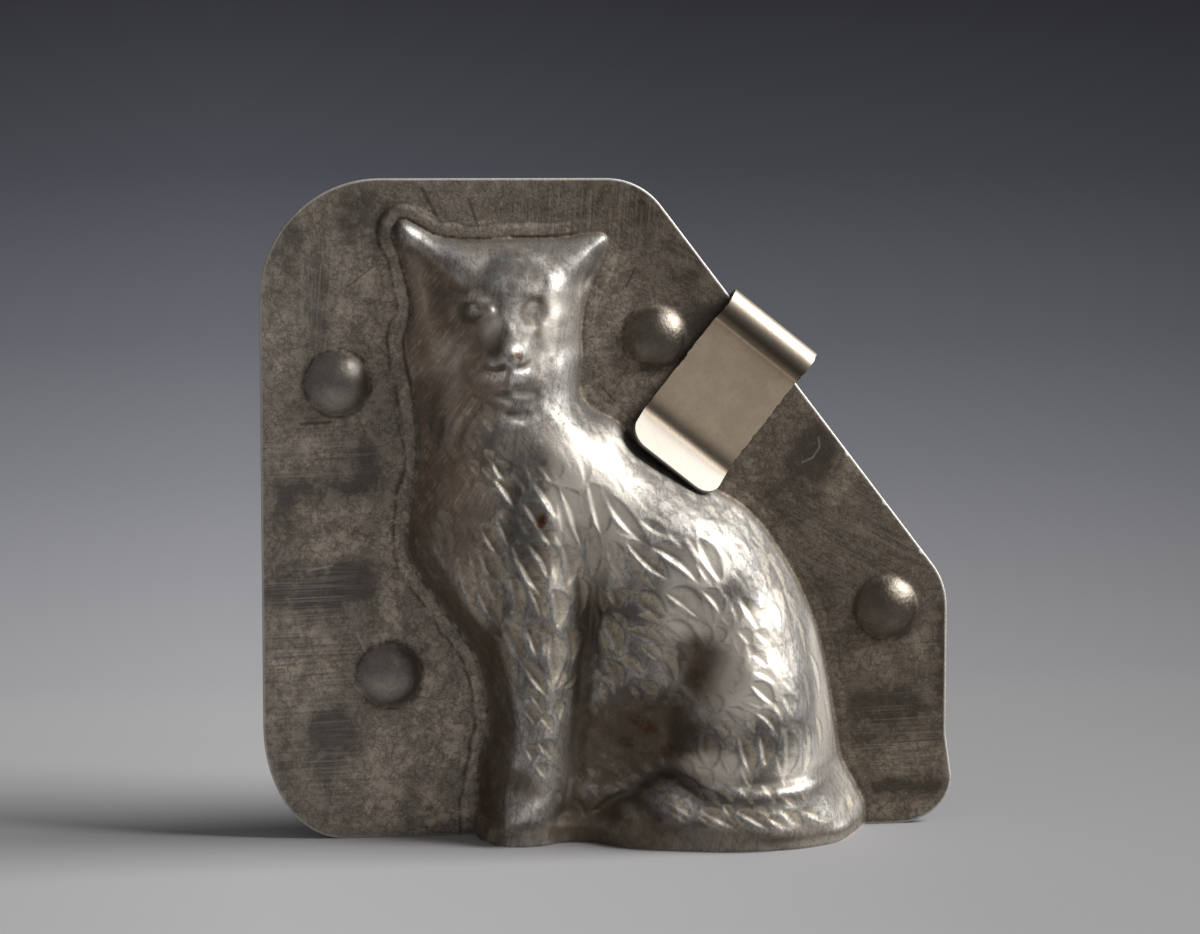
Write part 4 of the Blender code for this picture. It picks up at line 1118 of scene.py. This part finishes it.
OVALS = {  # below zero, the polish mark gives dull tin with painted shade, and the grime mark's grime and painted shade are taken away
    # wear together with painted highlight: paler tin on the neck, shoulder, back, haunch and ear ridges,
    # the slopes that face the lamp
    "wear_and_painted_highlight": (
        (5, 62, 16, 8, 35, 1), (20, 50, 8, 13, 40, 1), (31, 32, 7, 17, 10, 1), (-9.5, 71.5, 6, 5, 0, 1),
        (-9, 83, 4.5, 12, 0, 0.8), (-16.5, 83, 3, 6, 0, 0.7), (-27.5, 98.5, 1.8, 7, -54, 0.6),
        (-6, 96, 1.8, 6, 50, 0.7), (-8, 60, 8, 6, 0, 0.6), (-2, 54, 8, 5, 0, 0.7),
        (34, 10, 8, 6, 0, 0.7), (8, 49, 9, 5, 40, 0.6), (-17, 99.4, 14, 0.8, 0, 0.5)),
    # polish and painted light: above zero bright tin and painted highlights, among them a glint on the
    # left eye; below zero dull tin and painted shade over highlights
    "polish_and_painted_light": (
        (-5.5, 61.5, 7.5, 6.5, 20, 0.8), (-2.5, 57, 4, 3.5, 0, 0.5), (-21.4, 88.2, 1.8, 4.4, 0, 0.6),
        (-23.9, 89.1, 0.5, 0.45, 0, 1), (-23.4, 88.3, 0.9, 0.9, 0, -0.8), (-26.9, 88, 0.8, 2, 0, 0.4),
        (-13.9, 88.2, 1.3, 1.3, 0, -0.45), (-18, 93, 4.2, 4.6, 0, -0.95), (-14.5, 96, 8, 3, 0, -0.4),
        (-17, 95.5, 4, 2.5, 0, -0.4), (-9.7, 98.4, 4, 2.2, 0, -0.4), (-9.7, 91, 2, 3.5, 0, 0.6),
        (9.5, 66.5, 3, 3, 0, -0.8), (-6.4, 94.6, 2.6, 6, 45, -0.5), (-17, 85, 2, 3.6, 0, -0.5),
        (-11.2, 87, 1.6, 6, 5, 0.6), (-7.6, 79, 2.6, 4, 0, -0.4), (-28, 89.5, 2.4, 5, -25, -0.6),
        (-32.2, 91.5, 1.5, 5.5, -6, 0.25), (-27.5, 80, 3.5, 5, 0, 0.25),
        (-15.8, 74.6, 2.8, 1.2, 0, -0.9), (-16.9, 70.6, 2.2, 1, 0, -0.5), (-12.5, 76.5, 4, 3.5, 0, -0.3),
        (-5, 71.5, 4, 3.4, 0, -0.8), (-14.7, 62, 3, 4, 0, -0.5), (-15.5, 54, 3.5, 9, 0, -0.75),
        (5.5, 70.5, 3.6, 3, 0, -0.8), (0, 54.5, 4, 4, 0, 0.6), (-20.5, 50, 4.5, 8, 0, -0.3),
        (-14.5, 25, 3, 14, 0, -0.3), (-9.5, 50, 2, 14, 0, 0.3), (-13, 6.5, 3, 3, 0, -0.3),
        (8.5, 31, 3, 5, 0, 0.4), (11, 42, 5, 5.5, 30, 0.6), (14.8, 47, 3.8, 3.4, 0, 1),
        (17, 37.5, 4.5, 4, 0, 0.8), (20, 42.5, 3, 3, 0, -0.4), (20, 29, 4, 6, 0, 0.9),
        (23.5, 37.5, 3, 3, 0, 0.5), (12.5, 18, 3.5, 2.5, 0, -0.5), (15.5, 13.6, 5, 2.4, 0, 1),
        (29.5, 13, 4, 2, 0, 0.5), (30.5, 24, 2.6, 5, 0, -0.5), (24, 27, 3.4, 5, 0, 0.7),
        (17.5, 24, 4, 5, 0, 0.5), (10.5, 37.5, 3.5, 3, 0, 0.6), (-3, 50.5, 5, 8, 0, 0.45),
        (-9, 58, 3, 6, 0, 0.4), (25, 38.5, 3, 4, 0, 0.5), (-9.5, 67.5, 3, 3, 0, 0.4),
        (8, 58.5, 8, 5, 38, -0.45), (23, 47, 5, 9, 40, -0.35), (29.5, 36, 3.6, 9, 12, -0.3),
        (26.5, 19.5, 5, 3, 0, -0.6), (35, 26, 2.4, 14, 0, 0.4), (9, 7, 5, 4, 0, -0.5),
        (34, 8, 4, 4, 0, -0.6), (-28, 99.5, 2, 4, -54, -0.5), (-2.5, 98.6, 1.6, 1.6, 0, -0.6)),
    # a brown tone that is also painted fill light: it lightens the left cheek, ear, chest and walls,
    # which face away from the lamp
    "tan": (
        (-27, 84, 4.6, 8, 0, 0.9), (-29.5, 92, 3, 6.5, -25, 0.8), (-32.3, 90, 1.8, 6, -6, 0.8),
        (-25, 75.5, 5, 6, 0, 0.8), (-24.5, 53, 3.4, 13, 0, 0.6), (-33, 76, 2.6, 18, 0, 0.75),
        (-31, 59, 2.6, 8, 0, 0.65), (-27, 62, 3, 6, 0, 0.5)),
    # grime together with painted shade: dark spots at the nostrils, mouth and chin, behind the foreleg,
    # in the hollows of the belly and haunch and along the base
    "grime_and_painted_shade": (
        (-32.4, 90.8, 1.3, 5.2, -6, -0.9), (-28.6, 88.6, 4.2, 7, -25, 0.5), (-28.5, 77.5, 4, 7, 0, 0.3),
        (-27, 68, 4.5, 5, 0, 0.6), (-22, 84, 2.2, 3.5, 0, 0.5), (-27.5, 54, 4, 11, 0, 0.5),
        (-4.2, 40, 0.9, 10, 4, 0.6), (-6, 22, 1.6, 15, 3, 0.8), (14, 30, 4.6, 6.4, -15, 0.8),
        (3.8, 17.5, 9.5, 7, -10, 1), (-20.6, 20, 2.4, 22, 0, 0.7), (2, 4.5, 7.5, 4.5, 0, 0.7),
        (-6, 3, 5, 4.5, 0, 0.9), (-13.9, 91, 2.4, 0.5, 10, 0.5), (-1.5, 16, 5, 5, 0, 0.6),
        (8, 18.5, 4, 4, 0, 0.5), (-12.6, 85.2, 1.8, 0.8, -30, 1), (-20.6, 83, 1.2, 2, 0, 0.8),
        (-21.2, 79.4, 1.8, 0.5, -10, 0.9), (-15.8, 79.8, 1.4, 0.5, 10, 0.8),
        (-17.8, 75.3, 4, 0.5, 0, 0.7), (-16.8, 71.8, 1.6, 0.5, 0, 0.7), (-16, 11, 4, 2, 20, 0.5),
        (12, 2, 34, 2.4, 0, 0.5), (24, 9.6, 12, 0.8, 0, 0.3)),
    "rust": (
        (4.6, 19.4, 2.6, 1.2, 30, 0.7), (2, 16.4, 1.6, 0.8, 10, 0.6), (-17.4, 81.3, 1.3, 0.8, 0, 0.9),
        (-13.2, 54.4, 0.9, 1.3, 20, 1), (9, 15, 2, 1.2, 0, 0.6), (-21.5, 9, 1, 6, 0, 0.5),
        (12.6, 29, 1.6, 3, 0, 0.4)),
    "rub_level": (
        (-50, 64, 9, 5, 0, 0.7), (-50, 31, 8.5, 8.5, 0, 1), (-50, 42, 8, 4, 0, 0.8),
        (-50, 13, 9, 9, 0, 0.6), (50, 15, 7.5, 8, 0, 1), (49, 31, 8, 9, 0, 0.5)),
    "rub_up": (
        (-4, 104.5, 16, 5, 0, 0.8), (-49, 90, 4, 10, 0, 0.5)),
    "rub_slant": (
        (43, 50, 11, 9, 20, 0.9), (14, 96, 6, 6, 0, 0.5)),
}
marks = {"cavity": cavity(front_table), "inset": np.clip(depth_in / 10, -1, 1),
         "crease": np.clip(crease, 0, 1), "leaf": leaves, "seam": seams, "fur": in_fur}
marks["dome"] = smoothstep(DOME_RADIUS, DOME_RADIUS - 0.8, dome_distance)
# the cut edge is pale: wear and a painted highlight
marks["rim"] = smoothstep(0.4, 0.1, path_distance_at(outline))
marks.update({name: painted(places) for name, places in OVALS.items()})
marks["tan"] *= 1 - patch(-23.4, 88.4, 2.9, 2.3)  # the left eye stays clear

# painted shade: the walls that face left, away from the lamp, are darkened
faces_left = smoothstep(-0.2, 0.5, blur(np.gradient(depth_in, axis=1) / PITCH, 1))
left_wall = smoothstep(4.4, 3, depth_in) * smoothstep(-0.2, 0.5, depth_in) * faces_left
left_wall *= 1 - 0.6 * smoothstep(54, 64, ZZ)
# painted shade: dark rings in both eye sockets
eye_rings = sum(patch(x, z, wide, high, 0, 0.2) * (1 - patch(x, z + 0.1, wide - 0.9, high - 0.7, 0, 0.3))
                for x, z, wide, high in ((-23.8, 88.4, 2.5, 1.9), (-13.9, 88.4, 2.5, 2.4)))
marks["grime_and_painted_shade"] = np.clip(left_wall + 1.2 * eye_rings + marks["grime_and_painted_shade"], 0, 1)
on_ledge = smoothstep(0.1, 0.6, outside) * smoothstep(LEDGE_WIDTH, LEDGE_WIDTH - 0.6, outside)
marks["tone"] = np.clip(painted(FLANGE_TONES) + 0.25 * on_ledge, -1, 1)
marks["shade"] = np.clip(smoothstep(-20.0, 14.0, XX) + 0.55 * smoothstep(99.0, 103.0, ZZ), 0, 1)
back_marks = dict(marks, cavity=cavity(back_table))
for name in ("polish_and_painted_light", "tan", "grime_and_painted_shade", "rust"):
    back_marks[name] = marks[name] * (1 - patch(-18.5, 84, 15, 19, 0, 0.3))

# %% [markdown]
# Both halves are made in the same way from their tables. The back one has wider spacing over
# the figure, because its relief is plainer.

# %% Make both halves
FRONT_STEP, BACK_STEP = 0.32, 0.5
front = make_sheet("tin_front", -1, front_table, FRONT_STEP, marks)
back = make_sheet("tin_back", 1, back_table, BACK_STEP, back_marks)
for piece, half in ((front, "front_half"), (back, "back_half")):
    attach(piece, "mould")
    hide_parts(half)

# %% [markdown]
# ## The clip
# One strip of spring steel, bent at its middle into an open tube that pushes the jaws
# together. It was sheared by hand, so its long edges wander a little. The strip is a row of
# cross-sections along one bent line, given a thickness at the end. Two marks, for the folds
# and for the flared lip and the roll, go along for the colours.

# %% Bend the clip
CLIP_SHEET = 0.5
CLIP_WIDTH = 17.8
CLIP_ANGLE = 0.668
JAW_LENGTH, LIP_LENGTH = 18.9, 5.9
ROLL = 3.05
PINCH, CREASE_RISE, LIP_RISE = 1.4, 1.7, 4.3
LIP_CORNER, LIP_BEND = 3.5, 4.5
CREASE = (24.55, 81.46)
ROLL_STEPS = 26
LENGTH_STEP, CROSS_SECTION_POINTS = 0.4, 31


def clip_line():
    """Half of the bent strip, as along and outward, from the lip's end to the roll."""
    tip = (-JAW_LENGTH - LIP_LENGTH, PINCH + LIP_RISE)
    bend, crease = (-JAW_LENGTH, PINCH), (0, CREASE_RISE)
    line = [np.array(tip, float)] + rounded(tip, bend, crease, LIP_BEND, 0.35)
    middle = math.sqrt(ROLL**2 - CREASE_RISE**2)
    line += rounded(bend, crease, (middle, CREASE_RISE + 2.2), 0.5, 0.1)
    opening = math.atan2(CREASE_RISE, -middle)
    for k in range(2, ROLL_STEPS + 1):
        angle = opening * (1 - k / ROLL_STEPS)
        line.append(np.array([middle + ROLL * math.cos(angle), ROLL * math.sin(angle)]))
    return np.array(line)


def make_clip():
    half_line = clip_line()
    line = np.vstack([half_line * (1, -1), half_line[-2::-1]])
    runs = np.concatenate([[0], np.cumsum(np.hypot(*np.diff(line, axis=0).T))])
    total = runs[-1]
    lengths = np.concatenate([np.arange(0, total, LENGTH_STEP), [total]])
    wander = np.random.default_rng(8)
    half = CLIP_WIDTH / 2
    ragged = []
    for _ in range(2):
        knots = wander.uniform(0, 1, 160)**3 * 0.3
        slow = wander.uniform(0, 0.14, 14)
        at = lengths / total
        ragged.append(np.interp(at, np.linspace(0, 1, 160), knots)
                      + np.interp(at, np.linspace(0, 1, 14), slow))
    shares = -np.cos(np.linspace(0, math.pi, CROSS_SECTION_POINTS))
    lip_run = math.hypot(LIP_LENGTH, LIP_RISE)
    verts, faces, folds, flares = [], [], [], []
    for share in shares:
        into = max(0, abs(share) * half - (half - LIP_CORNER))
        cut = LIP_CORNER - math.sqrt(max(0, LIP_CORNER**2 - into**2))
        flat = LIP_LENGTH / 2 + LIP_CORNER
        for k, length in enumerate(lengths):
            from_middle = length - total / 2
            edge = abs(from_middle) - (total / 2 - flat)
            if edge > 0:
                edge *= 1 - cut / flat
                from_middle = math.copysign(total / 2 - flat + edge, from_middle)
            place = total / 2 + from_middle
            spot = (np.interp(place, runs, line[:, 0]), np.interp(place, runs, line[:, 1]))
            end = min(length, total - length)
            on_jaw = smoothstep(LIP_LENGTH + 1, LIP_LENGTH + 3, end)
            across = share * (half - ragged[int(share > 0)][k] * on_jaw)
            verts.append((across, spot[1], spot[0]))
            # painted shade: dark bands at the lip's bend and beside the roll, and a darker lip and roll
            # under their highlights
            past = end - lip_run - JAW_LENGTH
            folds.append(math.exp(-((end - lip_run) / 1.8)**2) + math.exp(-((past - 1.6) / 1.6)**2))
            flares.append(max(smoothstep(lip_run, lip_run - 2, end), 0.6 * smoothstep(0.5, 2, past)))
    rows = len(lengths)
    for i in range(len(shares) - 1):
        for k in range(rows - 1):
            a = i * rows + k
            faces.append((a, a + 1, a + 1 + rows, a + rows))
    placed = []
    for across, y, along in verts:
        x, z = rotate(across, along, -CLIP_ANGLE)
        placed.append(((CREASE[0] + SHIFT + x) * MM, y * MM, (CREASE[1] + z) * MM))
    mesh = bpy.data.meshes.new("spring_strip")
    mesh.from_pydata(placed, [], faces)
    shape = bmesh.new()
    shape.from_mesh(mesh)
    bmesh.ops.recalc_face_normals(shape, faces=shape.faces)
    shape.to_mesh(mesh)
    shape.free()
    mesh.shade_smooth()
    add_marks(mesh, {"fold": folds, "flare": flares})
    piece = add_object("spring_strip", mesh)
    thick = piece.modifiers.new("sheet", "SOLIDIFY")
    thick.thickness = CLIP_SHEET * MM
    thick.offset = 0.0
    return piece


clip = make_clip()
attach(clip, "clip")
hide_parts("spring_clip")
print("clip:", len(clip.data.polygons), "faces")

# %% [markdown]
# ## Old tinned steel
# Tin turns grey and slightly dull, and stays bright only where hands and cloths rub it. So
# the colour follows the shape: high places are pale and shine, hollows are dark and matt.
# Patches of darker oxide, thin veins and fine brushed scratches break up the flat parts. Each
# of these is a group of nodes with its own sizes, so that tin and spring steel share them.
# The marks add painted highlights and painted shade on top.

# %% Patches, streaks, veins and scratches
def edge_of(group, cover):
    """Where a cloudy noise is cut, so that about the wanted share of it is left."""
    return math_node(group, "SUBTRACT", 0.75, times(group, cover, 0.5))


def patch_mask(group, given):
    """Soft-edged patches: Size in mm, Cover from 0 to 1."""
    scale = math_node(group, "DIVIDE", 1.0, given["Size"])
    noise = cloud_noise(group, given["Vector"], scale, 8.0, given["Roughness"])
    edge = edge_of(group, given["Cover"])
    low = math_node(group, "SUBTRACT", edge, given["Softness"])
    high = math_node(group, "ADD", edge, given["Softness"])
    return mapped(group, noise, low, high, interpolation_type="SMOOTHSTEP")


def streak_mask(group, given):
    """Fine parallel scratches along one direction, in the plane of the flange."""
    along = node(group, "ShaderNodeVectorRotate", {
        "Vector": given["Vector"], "Angle": given["Angle"]}, rotation_type="Y_AXIS")
    size = node(group, "ShaderNodeCombineXYZ", {"X": given["Length"], "Y": 3.0, "Z": given["Width"]})
    scaled = node(group, "ShaderNodeVectorMath", {0: along.outputs[0], 1: size.outputs[0]},
                  operation="DIVIDE")
    noise = cloud_noise(group, scaled.outputs[0], 1.0, 3.0, 0.6)
    edge = edge_of(group, given["Cover"])
    return mapped(group, noise, edge, math_node(group, "ADD", edge, 0.14))


def vein_mask(group, given):
    """Thin wandering lines where a cloudy noise passes its middle: Size in mm."""
    scale = math_node(group, "DIVIDE", 1.0, given["Size"])
    noise = cloud_noise(group, given["Vector"], scale, 6.0, 0.62)
    gap = math_node(group, "ABSOLUTE", math_node(group, "SUBTRACT", noise, 0.5))
    return mapped(group, gap, given["Width"], 0.0)


def scratch_mask(group, given):
    """One straight scratch between two points of the flange; all sizes in mm."""
    def vector_math(operation, first, second, output=0):
        return node(group, "ShaderNodeVectorMath", {0: first, 1: second},
                    operation=operation).outputs[output]

    flat = vector_math("MULTIPLY", given["Vector"], (1, 0, 1))
    reach = vector_math("SUBTRACT", flat, given["Start"])
    run = vector_math("SUBTRACT", given["End"], given["Start"])
    share = math_node(group, "DIVIDE", vector_math("DOT_PRODUCT", reach, run, 1),
                      vector_math("DOT_PRODUCT", run, run, 1), clamp=True)
    nearest = node(group, "ShaderNodeVectorMath", {0: run, "Scale": share}, operation="SCALE")
    gap = vector_math("DISTANCE", reach, nearest.outputs[0], 1)
    return mapped(group, gap, given["Width"], times(group, given["Width"], 0.3))


PATCHES = mask_group("patches", ["Vector"], {
    "Size": 10.0, "Cover": 0.5, "Softness": 0.1, "Roughness": 0.6}, patch_mask)
STREAKS = mask_group("streaks", ["Vector"], {
    "Angle": 0.0, "Length": 12.0, "Width": 0.25, "Cover": 0.5}, streak_mask)
VEINS = mask_group("veins", ["Vector"], {"Size": 3.0, "Width": 0.02}, vein_mask)
SCRATCH = mask_group("scratch", ["Vector", "Start", "End"], {"Width": 0.3}, scratch_mask)


def use(tree, group, **sockets):
    """One use of a group, with values for its named inputs."""
    made = node(tree, "ShaderNodeGroup", node_tree=group)
    for name, value in sockets.items():
        fill(tree, made.inputs[name], value)
    return made.outputs[0]


def patches(tree, place, size, cover, softness, roughness):
    return use(tree, PATCHES, Vector=place, Size=size, Cover=cover, Softness=softness,
               Roughness=roughness)


def streaks(tree, place, angle, length, width, cover):
    return use(tree, STREAKS, Vector=place, Angle=angle, Length=length, Width=width, Cover=cover)


def new_metal(name):
    metal = bpy.data.materials.new(name)
    metal.use_nodes = True
    tree = metal.node_tree
    shader = tree.nodes["Principled BSDF"]
    shader.inputs["Metallic"].default_value = 1.0
    place = node(tree, "ShaderNodeTexCoord").outputs["Object"]
    in_mm = node(tree, "ShaderNodeVectorMath", {0: place, 1: (1000, 1000, 1000)},
                 operation="MULTIPLY").outputs[0]
    return metal, tree, shader, in_mm


def add_grain(tree, shader, height, strength, distance):
    bumps = node(tree, "ShaderNodeBump", {"Height": height, "Strength": strength, "Distance": distance})
    tree.links.new(bumps.outputs[0], shader.inputs["Normal"])


# %% Tinned steel of both halves
SCRATCHES = (  # x and z of both ends, width, brightness
    (-3.2, 108, -3.6, 102, 0.22, 0.9), (-31.4, 108.3, -28.2, 102.4, 0.5, 0),
    (-23.6, 106.6, -22.2, 102.2, 0.4, 0), (32.6, 62.2, 34.4, 63, 0.25, 0.8),
    (34.4, 63, 35.6, 64.8, 0.25, 0.8), (35.6, 64.8, 35.4, 66.4, 0.25, 0.8),
    (-51.6, 69.6, -46.8, 69.9, 0.4, 0), (-50.6, 45.2, -46.6, 46, 0.25, 0.7),
    (-43.8, 92.2, -39.4, 95.6, 0.2, 0), (-2, 76, 0.8, 72.8, 0.2, 0),
    (2.6, 92, 4.2, 95.2, 0.25, 0.1), (-42.6, 34.6, -41.2, 31.4, 0.25, 0.7),
    (4.8, 106.2, 5.4, 106, 0.6, 0), (-30.9, 4.6, -30.3, 4.8, 0.6, 0),
)


def read_marks(tree, names):
    return {name: node(tree, "ShaderNodeAttribute", attribute_name=name).outputs["Fac"]
            for name in names}


def flange_colours(tree, in_mm, mark, cloud, fleck):
    """Stained, veined and rubbed flat metal, darker towards the right and along the top by the shade
    mark, with a pale cut edge that is wear and a painted highlight.
    """
    veins = math_node(tree, "MAXIMUM", use(tree, VEINS, Vector=in_mm, Size=4.5, Width=0.028),
                      use(tree, VEINS, Vector=in_mm, Size=1.8, Width=0.03))
    swing = math_node(tree, "MULTIPLY_ADD", cloud, 3.4)
    swing.node.inputs[2].default_value = -1.7
    tone = math_node(tree, "ADD", mark["tone"], swing)
    pale = mapped(tree, tone, 0.05, 0.7, interpolation_type="SMOOTHSTEP")
    dark = mapped(tree, tone, -0.1, -0.8, interpolation_type="SMOOTHSTEP")
    flat = layered(tree, (0.37, 0.325, 0.275), (pale, 1, (0.56, 0.485, 0.40)),
                   (dark, 0.85, (0.145, 0.132, 0.12)), (veins, 0.65, (0.13, 0.112, 0.09)),
                   (fleck, 0.35, (0.17, 0.148, 0.125)))
    for key, angle, length in (("rub_level", 0.03, 16), ("rub_up", 1.5, 9), ("rub_slant", -0.5, 12)):
        light = streaks(tree, in_mm, angle, length, 0.35, 0.5)
        shade = streaks(tree, in_mm, angle + 0.02, length, 0.5, 0.45)
        flat = layered(tree, flat, (shade, times(tree, mark[key], 0.6), (0.15, 0.138, 0.125)),
                       (light, times(tree, mark[key], 0.4), (0.60, 0.55, 0.48)))
    for x0, z0, x1, z1, width, bright in SCRATCHES:
        line = use(tree, SCRATCH, Vector=in_mm, Start=(x0 + SHIFT, 0, z0), End=(x1 + SHIFT, 0, z1),
                   Width=width)
        ink = (0.55, 0.53, 0.50) if bright > 0.5 else (0.05, 0.042, 0.035)
        flat = layered(tree, flat, (line, 0.55, ink))
    flat = layered(tree, flat, (mark["dome"], 0.6, (0.24, 0.22, 0.20)))
    flat = colour_mix(tree, mark["shade"], flat, (0.56, 0.53, 0.49), "MULTIPLY")
    return layered(tree, flat, (mark["rim"], 0.75, (0.80, 0.77, 0.72)))


def fur_colours(tree, in_mm, mark, fleck, worn, high, dirt_and_painted_shade, dull_and_painted_shade):
    """Pale crests, dark hollows and seams, brown places that are partly painted fill light, grime with
    painted shade, and painted highlights and painted shade.
    """
    low = mapped(tree, mark["cavity"], -0.1, -0.8)
    bright = mapped(tree, mark["polish_and_painted_light"], 0, 1, 0, 0.85)
    smooth = math_node(tree, "SUBTRACT", 1, mark["leaf"])
    ground = layered(tree, (0.42, 0.385, 0.34), (mark["fur"], 1, (0.185, 0.172, 0.155)),
                     (mark["wear_and_painted_highlight"], 1, (0.33, 0.315, 0.295)))
    floor = layered(tree, (0.64, 0.555, 0.44), (mark["wear_and_painted_highlight"], 1, (0.58, 0.54, 0.48)))
    fur = layered(tree, ground, (mark["leaf"], 1, floor), (high, 1, (0.88, 0.86, 0.82)),
                  (low, 0.8, (0.12, 0.115, 0.105)), (worn, 0.35, (0.28, 0.255, 0.22)),
                  (fleck, 0.5, (0.19, 0.17, 0.145)), (dirt_and_painted_shade, 0.9, (0.165, 0.125, 0.088)))
    for angle, share in ((1.35, 0.45), (-0.9, 0.3)):
        line = times(tree, streaks(tree, in_mm, angle, 4, 0.4, 0.5), share)
        fur = layered(tree, fur, (line, smooth, (0.15, 0.138, 0.12)))
    strands = streaks(tree, in_mm, 1, 3, 0.35, 0.5)
    brown = layered(tree, (0.44, 0.34, 0.265), (strands, 1, (0.70, 0.57, 0.455)),
                    (worn, 0.6, (0.26, 0.195, 0.15)))
    # the tan mark lays the brown tone, partly painted fill light on the slopes facing left
    return layered(tree, fur, (mark["tan"], 0.85, brown), (bright, 1, (0.90, 0.84, 0.75)),
                   (dull_and_painted_shade, 1, (0.10, 0.095, 0.088)), (mark["seam"], 0.7, (0.10, 0.095, 0.088)))


def tin(name):
    metal, tree, shader, in_mm = new_metal(name)
    mark = read_marks(tree, marks)
    figure = mapped(tree, mark["inset"], 0, 0.1)
    cloud = cloud_noise(tree, in_mm, 0.28, 9, 0.72)
    fleck = patches(tree, in_mm, 1.3, 0.42, 0.06, 0.75)
    worn = patches(tree, in_mm, 5, 0.5, 0.08, 0.75)
    high = mapped(tree, mark["cavity"], 0.05, 0.6)
    # dull tin and painted shade where the polish mark is below zero
    dull_and_painted_shade = mapped(tree, mark["polish_and_painted_light"], 0, -1, 0, 0.8)
    clouded = mapped(tree, cloud, 0.35, 0.65, 1.25, 0.65)
    # grime and painted shade, broken up by a cloudy noise
    dirt_and_painted_shade = math_node(tree, "MULTIPLY", mark["grime_and_painted_shade"], clouded, clamp=True)
    rust = times(tree, mark["rust"], patches(tree, in_mm, 1.6, 0.6, 0.1, 0.7))
    # painted shade in the creases, broken up by patches
    painted_crease_shade = times(tree, mark["crease"], times(tree, patches(tree, in_mm, 3, 0.62, 0.08, 0.7), 0.8))
    flat = flange_colours(tree, in_mm, mark, cloud, fleck)
    fur = fur_colours(tree, in_mm, mark, fleck, worn, high, dirt_and_painted_shade, dull_and_painted_shade)
    base = layered(tree, flat, (figure, 1, fur), (rust, 1, (0.12, 0.052, 0.02)),
                   (painted_crease_shade, 1, (0.045, 0.04, 0.035)))
    tree.links.new(base, shader.inputs["Base Color"])
    rough = mapped(tree, mark["wear_and_painted_highlight"], 0, 1, 0.60, 0.64)
    for mask, more in ((fleck, 0.08), (dirt_and_painted_shade, 0.05), (high, -0.12), (painted_crease_shade, 0.1), (mark["dome"], -0.26),
                       (dull_and_painted_shade, 0.16)):
        rough = math_node(tree, "ADD", rough, times(tree, mask, more))
    tree.links.new(rough, shader.inputs["Roughness"])
    add_grain(tree, shader, cloud_noise(tree, in_mm, 1.1, 7, 0.7), 0.6, 0.0002)
    return metal


front.data.materials.append(tin("tinned steel, front"))
back.data.materials.append(tin("tinned steel, back"))

# %% [markdown]
# The clip is bare spring steel, warm and even on its jaws. Its folds are painted dark, as painted shade,
# and the flared lips and the roll are painted darker under their shine, as painted shade.

# %% Spring steel of the clip
def clip_metal():
    metal, tree, shader, in_mm = new_metal("spring steel")
    mark = read_marks(tree, ("fold", "flare"))
    # the fold and flare marks lay painted shade on the bends, the lips and the roll
    tone = layered(tree, (0.80, 0.66, 0.49),
                   (patches(tree, in_mm, 4, 0.45, 0.14, 0.6), 0.5, (0.62, 0.49, 0.35)),
                   (patches(tree, in_mm, 0.9, 0.4, 0.08, 0.7), 0.3, (0.55, 0.44, 0.32)),
                   (streaks(tree, in_mm, CLIP_ANGLE, 10, 0.3, 0.3), 0.12, (0.85, 0.75, 0.60)),
                   (mark["flare"], 0.9, (0.20, 0.19, 0.175)), (mark["fold"], 0.92, (0.05, 0.042, 0.033)))
    tree.links.new(tone, shader.inputs["Base Color"])
    rough = math_node(tree, "MULTIPLY_ADD", mark["flare"], 0.14)
    rough.node.inputs[2].default_value = 0.42
    tree.links.new(rough, shader.inputs["Roughness"])
    add_grain(tree, shader, cloud_noise(tree, in_mm, 2, 5, 0.5), 0.25, 0.0001)
    return metal


clip.data.materials.append(clip_metal())
